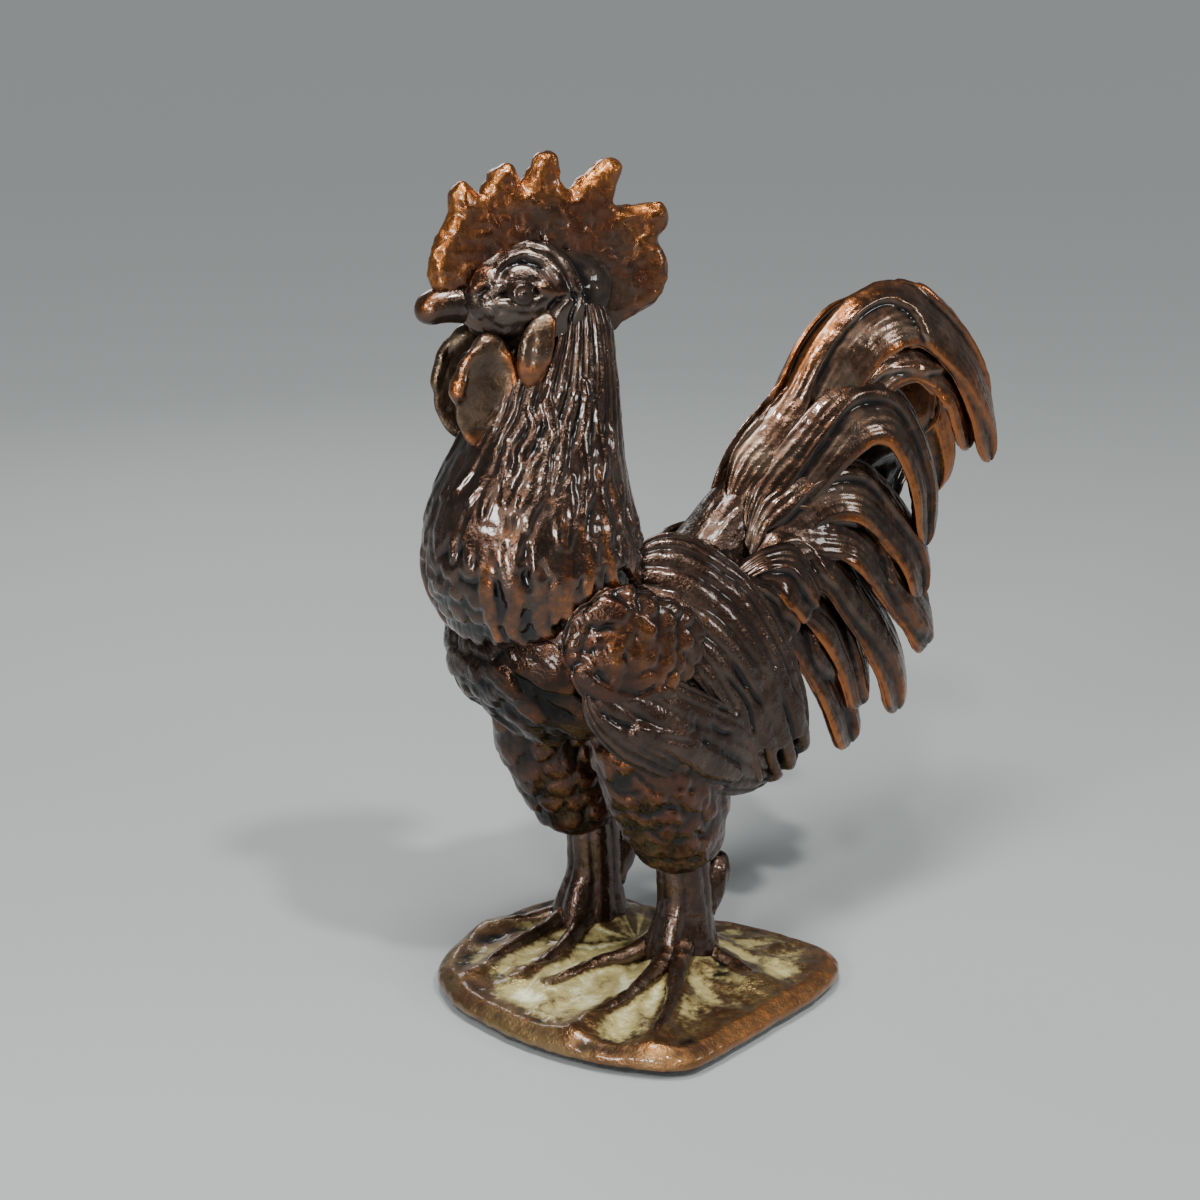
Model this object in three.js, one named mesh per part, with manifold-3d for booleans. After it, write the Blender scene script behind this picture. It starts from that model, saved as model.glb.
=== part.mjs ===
// Cast bronze rooster standing on a thin plaque, built from its separate sculpted members.
// Millimetres, +Z up. The rooster faces -X, and its left side is towards -Y.
import * as THREE from "three";
import { mergeVertices } from "three/addons/utils/BufferGeometryUtils.js";
import Module from "manifold-3d";

// Seam left between two members
const CLEARANCE = 0.3;
// Corners closer than this are one corner
const WELD = 1e-4;

// Ground plaque
const BASE_LENGTH = 36.6;
const BASE_WIDTH = 38.2;
const BASE_THICKNESS = 2.8;
const BASE_RIM_RADIUS = 0.9;
const BASE_SHIFT_LEFT = 4.5;

// Legs
const STANCE = 12.8;
const ANKLE_SETBACK = 5.6;
const LEG_STAGGER = 1.6;
const SHANK_LENGTH = 12;
const SHANK_WIDTH = 7;
const SHANK_DEPTH = 5.6;
const SHANK_TENON = 1.9;
const SPUR_LENGTH = 7;
const SPUR_WIDTH = 3.2;
const TOE_LENGTH = 21;
const TOE_WIDTH = 2.6;
const TOE_HEIGHT = 1.6;
const THIGH_LENGTH = 17;
const THIGH_WIDTH = 15.4;
const THIGH_DEPTH = 11;

// Body
const BODY_LENGTH = 38;
const BODY_WIDTH = 23;
const BODY_DEPTH = 21;
const BODY_FORWARD = 1;

// Wings and saddle
const WING_LENGTH = 28;
const WING_HEIGHT = 12;
const WING_THICKNESS = 2.6;
const SADDLE_LENGTH = 26;
const SADDLE_WIDTH = 13;
const SADDLE_THICKNESS = 2.4;

// Neck and head
const NECK_LENGTH = 30;
const NECK_WIDTH = 20.4;
const NECK_DEPTH = 22.6;
const HEAD_TURN = 18;
const HEAD_LENGTH = 15;
const HEAD_WIDTH = 9.6;
const HEAD_HEIGHT = 10.4;
const EYE_RADIUS = 1.5;
const BEAK_LENGTH = 7.2;
const BEAK_WIDTH = 3.5;
const COMB_LENGTH = 24;
const COMB_HEIGHT = 11;
const COMB_THICKNESS = 2.6;
const COMB_BEVEL = 0.9;
const WATTLE_LENGTH = 11;
const WATTLE_WIDTH = 6.4;
const WATTLE_THICKNESS = 2.4;
const EAR_LOBE_LENGTH = 8;
const EAR_LOBE_WIDTH = 3.4;

// Tail
const TAIL_LENGTH = 40;
const TAIL_HEIGHT = 27;
const TAIL_SPREAD = 18;
const FEATHER_WIDTH = 6.8;
const FEATHER_THICKNESS = 1.8;
const FEATHER_TILT = 24;
const RIGHT_SICKLE_DROP = 5.5;

const wasm = await Module();
wasm.setup();

// Bronze of one finish, as a fresh material
function bronze(color, roughness) {
  return new THREE.MeshStandardMaterial({ color, roughness, metalness: 0.85 });
}

const darkBronze = () => bronze(0x3a2a22, 0.38);
const wornBronze = () => bronze(0x8a4a22, 0.34);
const groundBronze = () => bronze(0x6e5a35, 0.5);

// Points given as shares of a member's size, set down from its own origin
function placed(origin, size, shares) {
  return shares.map((share) => share.map((value, axis) => origin[axis] + value * size[axis]));
}

// How much of its full size a rounded end has, at the share `part` of the way through its rounding
const rounded = (part) => Math.sqrt(1 - (1 - Math.min(1, part)) ** 2);

// A closed skin swept along a curved spine. Every section is an egg, `wide` to either side of the
// spine, `up` towards the face direction and `down` away from it. Both ends round off over the
// share `round` of the spine. `grow` thickens the skin all round for the seam to a neighbour.
function form(member, grow = 0) {
  const { spine, wide, up, down = up, face, tilt = 0, round = [0.12, 0.12] } = member;
  const { steps, sides, mirror = false } = member;
  const curve = new THREE.CatmullRomCurve3(spine.map((point) => new THREE.Vector3(...point)));
  const halves = wide.map((value, index) => new THREE.Vector3(value, up[index], down[index]));
  const sizes = new THREE.CatmullRomCurve3(halves, false, "catmullrom", 0.5);
  const outward = new THREE.Vector3(...face);
  const flip = mirror ? -1 : 1;
  const lean = THREE.MathUtils.degToRad(tilt);
  const positions = [];
  const push = (point) => positions.push(point.x, flip * point.y, point.z);

  push(curve.getPoint(0).addScaledVector(curve.getTangent(0), -grow));
  for (let step = 1; step < steps; step += 1) {
    const t = (1 - Math.cos((Math.PI * step) / steps)) / 2;
    const swell = rounded(t / round[0]) * rounded((1 - t) / round[1]);
    const centre = curve.getPoint(t);
    const tangent = curve.getTangent(t);
    const normal = outward.clone().addScaledVector(tangent, -tangent.dot(outward)).normalize();
    const across = new THREE.Vector3().crossVectors(normal, tangent);
    const size = sizes.getPoint(t);
    for (let side = 0; side < sides; side += 1) {
      const angle = (2 * Math.PI * side) / sides;
      const rise = Math.sin(angle) > 0 ? size.y : size.z;
      const sideways = Math.cos(angle) * (size.x * swell + grow);
      const upwards = Math.sin(angle) * (rise * swell + grow);
      const point = centre.clone();
      point.addScaledVector(across, sideways * Math.cos(lean) + upwards * Math.sin(lean));
      point.addScaledVector(normal, upwards * Math.cos(lean) - sideways * Math.sin(lean));
      push(point);
    }
  }
  push(curve.getPoint(1).addScaledVector(curve.getTangent(1), grow));

  const faces = [];
  const last = (steps - 1) * sides + 1;
  for (let side = 0; side < sides; side += 1) {
    const next = (side + 1) % sides;
    faces.push([0, 1 + next, 1 + side]);
    for (let ring = 0; ring < steps - 2; ring += 1) {
      const here = 1 + ring * sides;
      const there = here + sides;
      faces.push([here + side, here + next, there + next], [here + side, there + next, there + side]);
    }
    faces.push([last, last - sides + side, last - sides + next]);
  }
  const turned = mirror ? faces.map((corners) => corners.toReversed()) : faces;
  const geometry = new THREE.BufferGeometry();
  geometry.setAttribute("position", new THREE.Float32BufferAttribute(positions, 3));
  geometry.setIndex(turned.flat());
  return geometry;
}

// A flat plate of a smooth closed outline, bevelled all round, standing on its own plane
function plate(rim, thickness, bevel, grow) {
  const curve = new THREE.CatmullRomCurve3(rim.map(([x, y]) => new THREE.Vector3(x, y, 0)), true);
  const points = curve.getPoints(2 * rim.length).slice(0, -1);
  const outline = new THREE.Shape(points.map((point) => new THREE.Vector2(point.x, point.y)));
  const geometry = new THREE.ExtrudeGeometry(outline, {
    depth: thickness - 2 * bevel,
    bevelThickness: bevel + grow,
    bevelSize: bevel + grow,
    bevelOffset: -bevel,
    bevelSegments: 1,
  });
  return geometry.translate(0, 0, bevel);
}

// The solid of a closed geometry
function solidOf(geometry) {
  const bare = geometry.clone();
  bare.deleteAttribute("normal");
  bare.deleteAttribute("uv");
  const merged = mergeVertices(bare, WELD);
  return new wasm.Manifold(new wasm.Mesh({
    numProp: 3,
    vertProperties: new Float32Array(merged.attributes.position.array),
    triVerts: new Uint32Array(merged.index.array),
  }));
}

// The geometry of a solid, with flat faces
function geometryOf(solid) {
  const mesh = solid.getMesh();
  const geometry = new THREE.BufferGeometry();
  geometry.setAttribute("position", new THREE.Float32BufferAttribute(mesh.vertProperties, 3));
  geometry.setIndex(Array.from(mesh.triVerts));
  geometry.computeVertexNormals();
  return geometry;
}

// The main body of a cut solid, without crumbs that a neighbour's skin cut off
function mainBody(solid) {
  const bodies = solid.decompose();
  return bodies.reduce((best, body) => (body.volume() > best.volume() ? body : best));
}

// Members in order: each one gives way, by the clearance, to every earlier one that it meets
const members = [];

// One member: `make(grow)` gives its geometry, thickened by `grow`
function member(name, material, make) {
  members.push({ name, material, make });
}

// A swept member, and its mirror image on the other side
function swept(name, material, shape, frame = new THREE.Matrix4()) {
  member(name, material, (grow) => form(shape, grow).applyMatrix4(frame));
}

function pair(name, material, shape, frame) {
  swept(`${name}_left`, material, shape, frame);
  swept(`${name}_right`, material, { ...shape, mirror: true }, frame);
}

const scaled = (size, shares) => shares.map((share) => size * share);

// The joints of the figure, from the ground up
const ankleZ = BASE_THICKNESS;
const hockZ = ankleZ + SHANK_LENGTH;
const hipZ = hockZ + THIGH_LENGTH;
const bodyCentre = [-BODY_FORWARD, 0, hipZ + 0.27 * BODY_DEPTH];
const bodySize = [BODY_LENGTH, BODY_WIDTH, BODY_DEPTH];
const neckFoot = [bodyCentre[0] - 0.2 * BODY_LENGTH, 0, bodyCentre[2] + 0.21 * BODY_DEPTH];
const headCentre = [neckFoot[0] + 0.12 * NECK_LENGTH, 0, neckFoot[2] + 1.01 * NECK_LENGTH];
const tailRoot = [bodyCentre[0] + 0.395 * BODY_LENGTH, 0, bodyCentre[2] + 0.215 * BODY_DEPTH];

// Legs. The right foot stands a little ahead of the left one. Both are drawn on the left side, and
// the right one is mirrored.
const bothSides = ["left", "right"];
const isRight = (side) => side === "right";
const ankleOf = (side) => [ANKLE_SETBACK - (isRight(side) ? LEG_STAGGER : 0), -STANCE / 2, ankleZ];

for (const side of bothSides) {
  const ankle = ankleOf(side);
  swept(`shank_${side}`, darkBronze, {
    spine: [
      [ankle[0], ankle[1], ankleZ - SHANK_TENON],
      ...placed(ankle, [SHANK_WIDTH, SHANK_DEPTH, SHANK_LENGTH], [
        [0, 0, 0.05], [0.04, 0, 0.43], [0.01, 0, 0.85], [-0.03, 0, 1.2],
      ]),
    ],
    wide: scaled(SHANK_WIDTH / 2, [0.7, 1.3, 1.08, 1.04, 0.75]),
    up: scaled(SHANK_DEPTH / 2, [0.7, 1.3, 1.08, 1.04, 0.75]),
    face: [0, -1, 0],
    round: [0.08, 0.1],
    steps: 9,
    sides: 12,
    mirror: isRight(side),
  });
}

// Ground plaque
const plaqueOutline = [
  [0.45, -0.37], [0.32, -0.42], [0.1, -0.46], [-0.09, -0.49], [-0.25, -0.5], [-0.36, -0.4],
  [-0.45, -0.23], [-0.495, -0.01], [-0.485, 0.2], [-0.41, 0.35], [-0.24, 0.46], [-0.05, 0.5],
  [0.12, 0.48], [0.29, 0.34], [0.37, 0.155], [0.45, 0.02], [0.5, -0.12], [0.52, -0.29],
];

function plaque(grow) {
  const rim = plaqueOutline.map(([x, y]) => [x * BASE_LENGTH, y * BASE_WIDTH - BASE_SHIFT_LEFT]);
  return plate(rim, BASE_THICKNESS, BASE_RIM_RADIUS, grow);
}

member("base_plaque", groundBronze, plaque);

// Spurs and toes. A toe is its name, its bearing in degrees out from straight ahead, its length as
// a share of TOE_LENGTH, and how far it bows sideways as a share of its own length.
const toes = {
  left: [
    ["middle", 17, 1.02, 0.05],
    ["outer", 40, 1.03, 0.03],
    ["inner", -10, 0.78, -0.08],
    ["hind", 96, 0.5, 0.1],
  ],
  right: [
    ["middle", -9, 0.88, 0.06],
    ["inner", -24, 0.82, -0.05],
    ["outer", 27, 0.56, 0.05],
    ["hind", 150, 0.36, 0],
  ],
};

// The spine of a toe: straight out from the ankle, with its bow as a parabola, sinking as it goes
function toeSpine(ankle, bearing, length, bow) {
  const angle = THREE.MathUtils.degToRad(bearing);
  const ahead = [-Math.cos(angle), -Math.sin(angle)];
  const stations = [[0.04, 1], [0.3, 0.45], [0.65, 0.3], [1, 0.3]];
  return stations.map(([part, rise]) => {
    const sideways = 4 * bow * part * (1 - part);
    return [
      ankle[0] + length * (part * ahead[0] - sideways * ahead[1]),
      ankle[1] + length * (part * ahead[1] + sideways * ahead[0]),
      ankle[2] + rise * TOE_HEIGHT,
    ];
  });
}

for (const side of bothSides) {
  const ankle = ankleOf(side);
  const heel = [ankle[0] + 0.3 * SHANK_WIDTH, ankle[1], ankle[2] + 0.35 * SHANK_LENGTH];
  swept(`spur_${side}`, darkBronze, {
    spine: placed(heel, [SPUR_LENGTH, 0, SPUR_LENGTH], [[0, 0, 0], [0.3, 0, 0.42], [0.55, 0, 0.85]]),
    wide: scaled(SPUR_WIDTH / 2, [1, 1.05, 0.85]),
    up: scaled(SPUR_WIDTH / 2, [1, 1.05, 0.85]),
    face: [0, -1, 0],
    round: [0.2, 0.3],
    steps: 6,
    sides: 8,
    mirror: isRight(side),
  });
  for (const [toe, bearing, share, bow] of toes[side]) {
    swept(`toe_${side}_${toe}`, darkBronze, {
      spine: toeSpine(ankle, bearing, share * TOE_LENGTH, bow),
      wide: scaled(TOE_WIDTH / 2, [1.2, 1, 0.85, 0.7]),
      up: scaled(TOE_HEIGHT, [1.2, 0.9, 0.75, 0.6]),
      face: [0, 0, 1],
      round: [0.1, 0.2],
      steps: 7,
      sides: 8,
      mirror: isRight(side),
    });
  }
}

// The head and what it carries are drawn looking along -X and then turned together
const headFrame = new THREE.Matrix4()
  .makeTranslation(...headCentre)
  .multiply(new THREE.Matrix4().makeRotationZ(THREE.MathUtils.degToRad(-HEAD_TURN)));
const headSize = [-HEAD_LENGTH, -HEAD_WIDTH, HEAD_HEIGHT];
const centred = [0, 0, 0];

for (const side of bothSides) {
  const outwards = (isRight(side) ? 1 : -1) * HEAD_WIDTH;
  member(`eye_${side}`, darkBronze, (grow) => new THREE.SphereGeometry(EYE_RADIUS + grow, 10, 8)
    .rotateX(Math.PI / 2)
    .translate(-0.37 * HEAD_LENGTH, 0.41 * outwards, 0.12 * HEAD_HEIGHT)
    .applyMatrix4(headFrame));
}

const beakRoot = [-0.5 * HEAD_LENGTH, 0, -0.05 * HEAD_HEIGHT];
const jawRoot = [beakRoot[0], 0, beakRoot[2] - 0.42 * HEAD_HEIGHT];
const beakSize = [-BEAK_LENGTH, 0, BEAK_LENGTH];
swept("beak_upper", wornBronze, {
  spine: placed(beakRoot, beakSize, [[0, 0, 0], [0.35, 0, 0.02], [0.7, 0, 0], [1, 0, -0.06]]),
  wide: scaled(BEAK_WIDTH / 2, [1.15, 1.08, 0.98, 0.88]),
  up: scaled(BEAK_WIDTH / 2, [1.1, 1.05, 0.98, 0.85]),
  face: [0, 0, 1],
  round: [0.1, 0.25],
  steps: 8,
  sides: 10,
}, headFrame);
swept("beak_lower", darkBronze, {
  spine: placed(jawRoot, beakSize, [[-0.2, 0, 0.1], [0.15, 0, 0], [0.42, 0, -0.12]]),
  wide: scaled(BEAK_WIDTH / 2, [0.9, 0.8, 0.5]),
  up: scaled(BEAK_WIDTH / 4, [1, 0.9, 0.6]),
  face: [0, 0, 1],
  round: [0.1, 0.25],
  steps: 6,
  sides: 8,
}, headFrame);

// Comb: five points, a rear blade, and along its foot the tongue that sits in the crown's slot
const combOutline = [
  [0.48, -0.145], [0.504, 0.165], [0.458, 0.38], [0.42, 0.52], [0.417, 0.67], [0.363, 0.765],
  [0.3, 0.665], [0.267, 0.765], [0.225, 0.89], [0.167, 0.9], [0.125, 0.73], [0.083, 0.87],
  [0.046, 0.99], [-0.013, 0.98], [-0.038, 0.76], [-0.07, 0.67], [-0.15, 0.8], [-0.24, 0.935],
  [-0.3, 0.87], [-0.275, 0.67], [-0.275, 0.53], [-0.375, 0.51], [-0.47, 0.53], [-0.505, 0.4],
  [-0.463, 0.22], [-0.505, 0.035], [-0.505, -0.145], [-0.45, -0.345], [-0.34, -0.455],
  [-0.26, -0.58], [-0.18, -0.5], [-0.175, -0.18], [-0.05, 0.02], [0.16, 0], [0.325, -0.18],
];

function comb(grow) {
  const foot = [-0.08 * HEAD_LENGTH, 0.27 * HEAD_HEIGHT];
  const rim = combOutline.map(([x, z]) => [foot[0] - x * COMB_LENGTH, foot[1] + z * COMB_HEIGHT]);
  return plate(rim, COMB_THICKNESS, COMB_BEVEL, grow)
    .translate(0, 0, -COMB_THICKNESS / 2)
    .rotateX(Math.PI / 2)
    .applyMatrix4(headFrame);
}

member("comb", wornBronze, comb);

swept("head", darkBronze, {
  spine: placed(centred, headSize, [
    [-0.3, 0, -0.12], [-0.1, 0, 0], [0.22, 0, 0.04], [0.5, 0, 0], [0.7, 0, -0.08],
  ]),
  wide: scaled(HEAD_WIDTH / 2, [0.55, 0.92, 1, 0.82, 0.5]),
  up: scaled(HEAD_HEIGHT / 2, [0.55, 0.92, 0.98, 0.72, 0.42]),
  down: scaled(HEAD_HEIGHT / 2, [0.55, 1, 1.1, 0.95, 0.55]),
  face: [0, 0, 1],
  round: [0.12, 0.12],
  steps: 8,
  sides: 12,
}, headFrame);

const wattleRoot = [-0.56 * HEAD_LENGTH, -0.28 * HEAD_WIDTH, -0.27 * HEAD_HEIGHT];
const wattleSize = [-WATTLE_LENGTH, -WATTLE_LENGTH, WATTLE_LENGTH];
pair("wattle", wornBronze, {
  spine: placed(wattleRoot, wattleSize, [
    [0, 0, 0], [0.02, 0.05, -0.27], [0.05, 0.06, -0.63], [0.09, 0.04, -0.99],
  ]),
  wide: scaled(WATTLE_WIDTH / 2, [0.45, 0.8, 0.94, 0.6]),
  up: scaled(WATTLE_THICKNESS / 2, [0.9, 1, 1, 0.8]),
  face: [0, -1, 0],
  round: [0.15, 0.3],
  steps: 8,
  sides: 10,
}, headFrame);

const lobeRoot = [-0.2 * HEAD_LENGTH, -0.45 * HEAD_WIDTH, -0.05 * HEAD_HEIGHT];
const lobeSize = [-EAR_LOBE_LENGTH, -EAR_LOBE_LENGTH, EAR_LOBE_LENGTH];
pair("ear_lobe", wornBronze, {
  spine: placed(lobeRoot, lobeSize, [[0, 0, 0], [0.2, 0.08, -0.42], [0.27, 0.04, -0.9]]),
  wide: scaled(EAR_LOBE_WIDTH / 2, [0.5, 1, 0.65]),
  up: scaled(EAR_LOBE_WIDTH / 4, [0.8, 1, 0.8]),
  face: [0, -1, 0],
  round: [0.2, 0.3],
  steps: 6,
  sides: 8,
}, headFrame);

swept("neck_hackle", darkBronze, {
  spine: placed(neckFoot, [NECK_LENGTH, 0, NECK_LENGTH], [
    [0.02, 0, -0.11], [-0.005, 0, 0.02], [-0.013, 0, 0.17], [-0.003, 0, 0.32], [0.033, 0, 0.49],
    [0.073, 0, 0.65], [0.107, 0, 0.84], [0.12, 0, 1],
  ]),
  wide: scaled(NECK_WIDTH / 2, [0.7, 1, 1, 0.93, 0.79, 0.66, 0.56, 0.46]),
  up: scaled(NECK_DEPTH / 2, [0.7, 0.98, 1, 0.94, 0.8, 0.67, 0.55, 0.46]),
  face: [-1, 0, 0],
  round: [0.1, 0.1],
  steps: 11,
  sides: 14,
});

// Tail core, then the trunk that holds it
const tailSize = [TAIL_LENGTH, TAIL_SPREAD, TAIL_HEIGHT];
swept("tail_core", darkBronze, {
  spine: placed(tailRoot, tailSize, [
    [-0.15, 0, -0.055], [0, 0, 0], [0.2, 0, 0.11], [0.4, 0, 0.2], [0.6, 0, 0.29], [0.76, 0, 0.3],
  ]),
  wide: scaled(TAIL_SPREAD / 2, [0.55, 0.45, 0.38, 0.34, 0.26, 0.14]),
  up: scaled(TAIL_HEIGHT, [0.11, 0.19, 0.31, 0.41, 0.33, 0.2]),
  down: scaled(TAIL_HEIGHT, [0.15, 0.19, 0.37, 0.5, 0.46, 0.3]),
  face: [0, 0, 1],
  round: [0.15, 0.2],
  steps: 9,
  sides: 14,
});

swept("body", darkBronze, {
  spine: placed(bodyCentre, bodySize, [
    [-0.38, 0, 0.21], [-0.29, 0, 0.13], [-0.12, 0, 0.01], [0.105, 0, -0.03], [0.29, 0, 0.03],
    [0.43, 0, 0.15], [0.525, 0, 0.26],
  ]),
  wide: scaled(BODY_WIDTH / 2, [0.45, 0.82, 1, 1, 0.8, 0.55, 0.3]),
  up: scaled(BODY_DEPTH / 2, [0.45, 0.72, 0.84, 0.74, 0.66, 0.58, 0.42]),
  down: scaled(BODY_DEPTH / 2, [0.4, 0.72, 0.97, 0.92, 0.8, 0.6, 0.4]),
  face: [0, 0, 1],
  round: [0.12, 0.15],
  steps: 10,
  sides: 16,
});

// Wings lie on the flanks, and the saddle drapes from the back over them, up to the tail's root
const shoulder = [bodyCentre[0] - 0.32 * BODY_LENGTH, -BODY_WIDTH / 2, bodyCentre[2] + 0.21 * BODY_DEPTH];
const wingSize = [WING_LENGTH, -WING_THICKNESS, WING_HEIGHT];
pair("wing_bow", wornBronze, {
  spine: placed(shoulder, wingSize, [
    [0.02, -0.9, 0], [0.21, -0.1, -0.13], [0.43, 0.1, -0.33], [0.61, -0.15, -0.55],
  ]),
  wide: scaled(WING_HEIGHT / 2, [0.5, 0.95, 0.85, 0.45]),
  up: scaled(WING_THICKNESS, [0.5, 0.75, 0.7, 0.45]),
  down: scaled(WING_THICKNESS, [0.9, 1.2, 1.2, 0.9]),
  face: [0, -1, 0],
  round: [0.2, 0.2],
  steps: 9,
  sides: 14,
});

const saddleTop = [tailRoot[0] - 0.577 * SADDLE_LENGTH, 0, bodyCentre[2] + 0.36 * BODY_DEPTH];
pair("saddle", darkBronze, {
  spine: placed(saddleTop, [SADDLE_LENGTH, BODY_WIDTH, SADDLE_LENGTH], [
    [-0.02, -0.17, 0.02], [0.17, -0.36, -0.1], [0.37, -0.48, -0.33], [0.51, -0.52, -0.6],
    [0.58, -0.53, -0.85],
  ]),
  wide: scaled(SADDLE_WIDTH / 2, [0.7, 1, 1, 0.9, 0.65]),
  up: scaled(SADDLE_THICKNESS / 2, [0.7, 0.9, 0.9, 0.9, 0.7]),
  down: scaled(SADDLE_THICKNESS, [1, 1.2, 1.2, 1, 0.8]),
  face: [0, -1, 0.3],
  round: [0.15, 0.15],
  steps: 9,
  sides: 10,
});

pair("wing_flights", darkBronze, {
  spine: placed(shoulder, wingSize, [
    [0.09, -0.4, -0.375], [0.32, 0.27, -0.79], [0.64, 0.42, -1.21], [0.96, 0.1, -1.58],
  ]),
  wide: scaled(WING_HEIGHT / 2, [0.5, 0.8, 0.77, 0.4]),
  up: scaled(WING_THICKNESS / 2, [0.6, 0.9, 0.9, 0.6]),
  down: scaled(WING_THICKNESS, [0.9, 1.2, 1.2, 0.9]),
  face: [0, -1, 0],
  round: [0.15, 0.15],
  steps: 9,
  sides: 10,
});

// Thighs, seated against the belly under the wings. Their tops stand level, and each leans forward
// to its own hock.
for (const side of bothSides) {
  const hock = [ANKLE_SETBACK, -STANCE / 2, hockZ];
  const spine = placed(hock, [THIGH_WIDTH, THIGH_DEPTH, THIGH_LENGTH], [
    [-0.37, 0, 1.13], [-0.31, -0.14, 0.78], [-0.17, -0.12, 0.36], [-0.02, -0.02, -0.09],
  ]);
  const lean = (ankleOf(side)[0] - hock[0]) / (spine.length - 1);
  swept(`thigh_${side}`, darkBronze, {
    spine: spine.map(([x, y, z], index) => [x + lean * index, y, z]),
    wide: scaled(THIGH_WIDTH / 2, [0.75, 1, 0.78, 0.45]),
    up: scaled(THIGH_DEPTH / 2, [1, 1.05, 0.9, 0.7]),
    face: [0, -1, 0],
    round: [0.15, 0.12],
    steps: 8,
    sides: 12,
    mirror: isRight(side),
  });
}

// Tail feathers of one side, from the main sickle down, each overlapping the next one below it.
// A row is the feather's name and its spine in shares of the tail's length, spread and height.
const feathers = [
  ["tail_covert_upper", [
    [-0.06, -0.36, 0.07], [0.04, -0.43, 0.06], [0.125, -0.465, -0.015], [0.19, -0.485, -0.15],
  ]],
  ["tail_covert_lower", [
    [-0.11, -0.41, 0.015], [-0.025, -0.485, -0.03], [0.045, -0.52, -0.12], [0.0875, -0.54, -0.215],
  ]],
  ["tail_feather_1", [
    [0.03, -0.09, 0.19], [0.16, -0.11, 0.39], [0.33, -0.13, 0.59], [0.43, -0.15, 0.78],
    [0.54, -0.17, 0.89], [0.69, -0.18, 0.9], [0.85, -0.21, 0.73], [0.95, -0.23, 0.5], [1, -0.24, 0.24],
  ]],
  ["tail_feather_2", [
    [0.04, -0.14, 0.15], [0.18, -0.17, 0.3], [0.33, -0.17, 0.46], [0.45, -0.17, 0.63],
    [0.55, -0.18, 0.74], [0.68, -0.19, 0.76], [0.8, -0.21, 0.65], [0.875, -0.21, 0.49],
    [0.915, -0.22, 0.31],
  ]],
  ["tail_feather_3", [
    [0.05, -0.18, 0.11], [0.18, -0.21, 0.27], [0.3, -0.24, 0.44], [0.43, -0.26, 0.55], [0.55, -0.28, 0.53],
    [0.64, -0.29, 0.38], [0.69, -0.31, 0.18], [0.7, -0.32, -0.04],
  ]],
  ["tail_feather_4", [
    [0.05, -0.22, 0.09], [0.17, -0.26, 0.21], [0.29, -0.28, 0.28], [0.41, -0.32, 0.26],
    [0.51, -0.33, 0.16], [0.59, -0.35, 0.03], [0.645, -0.36, -0.1], [0.66, -0.37, -0.24],
  ]],
  ["tail_feather_5", [
    [0.05, -0.26, 0.06], [0.16, -0.28, 0.14], [0.275, -0.32, 0.155], [0.375, -0.35, 0.1],
    [0.475, -0.38, -0.03], [0.565, -0.39, -0.185], [0.64, -0.4, -0.32], [0.68, -0.405, -0.445],
  ]],
  ["tail_feather_6", [
    [0.04, -0.29, 0.03], [0.175, -0.33, 0.065], [0.29, -0.37, 0], [0.375, -0.4, -0.15], [0.45, -0.42, -0.3],
    [0.52, -0.44, -0.49], [0.55, -0.445, -0.68],
  ]],
  ["tail_feather_7", [
    [0.04, -0.32, -0.015], [0.175, -0.37, -0.055], [0.275, -0.405, -0.2], [0.34, -0.43, -0.35],
    [0.375, -0.45, -0.48], [0.39, -0.455, -0.61],
  ]],
  ["tail_feather_8", [
    [0.01, -0.355, -0.06], [0.125, -0.405, -0.155], [0.21, -0.445, -0.31], [0.275, -0.47, -0.485],
    [0.31, -0.49, -0.61], [0.34, -0.5, -0.74],
  ]],
];

const mainSickle = "tail_feather_1";

for (const [name, shares] of feathers) {
  const spine = placed(tailRoot, tailSize, shares);
  for (const side of bothSides) {
    const drop = isRight(side) && name === mainSickle ? RIGHT_SICKLE_DROP : 0;
    swept(`${name}_${side}`, darkBronze, {
      spine: spine.map(([x, y, z], index) => [x, y, z - drop * (index / (spine.length - 1)) ** 2]),
      wide: scaled(FEATHER_WIDTH / 2, [0.45, ...Array(spine.length - 2).fill(1), 0.65]),
      up: scaled(FEATHER_THICKNESS / 2, Array(spine.length).fill(1)),
      face: [0, -1, 0],
      tilt: FEATHER_TILT,
      round: [0.12, 0.12],
      steps: name === mainSickle ? 12 : 9,
      sides: 6,
      mirror: isRight(side),
    });
  }
}

// Cut every member back from the earlier ones and gather the figure
const figure = new THREE.Group();
const seams = [];
for (const { name, material, make } of members) {
  let solid = solidOf(make(0));
  const box = new THREE.Box3().setFromBufferAttribute(make(0).getAttribute("position"));
  for (const seam of seams) {
    if (seam.box.intersectsBox(box)) {
      solid = solid.subtract(seam.solid);
    }
  }
  const mesh = new THREE.Mesh(geometryOf(mainBody(solid)), material());
  mesh.name = name;
  figure.add(mesh);
  const grown = make(CLEARANCE);
  const grownBox = new THREE.Box3().setFromBufferAttribute(grown.getAttribute("position"));
  seams.push({ box: grownBox, solid: solidOf(grown) });
}

// The origin is under the middle of the figure, on the ground
const bounds = new THREE.Box3().setFromObject(figure, true);
const middle = bounds.getCenter(new THREE.Vector3());
figure.position.set(-middle.x, -middle.y, -bounds.min.z);
figure.updateMatrixWorld(true);

export default figure;
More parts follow.
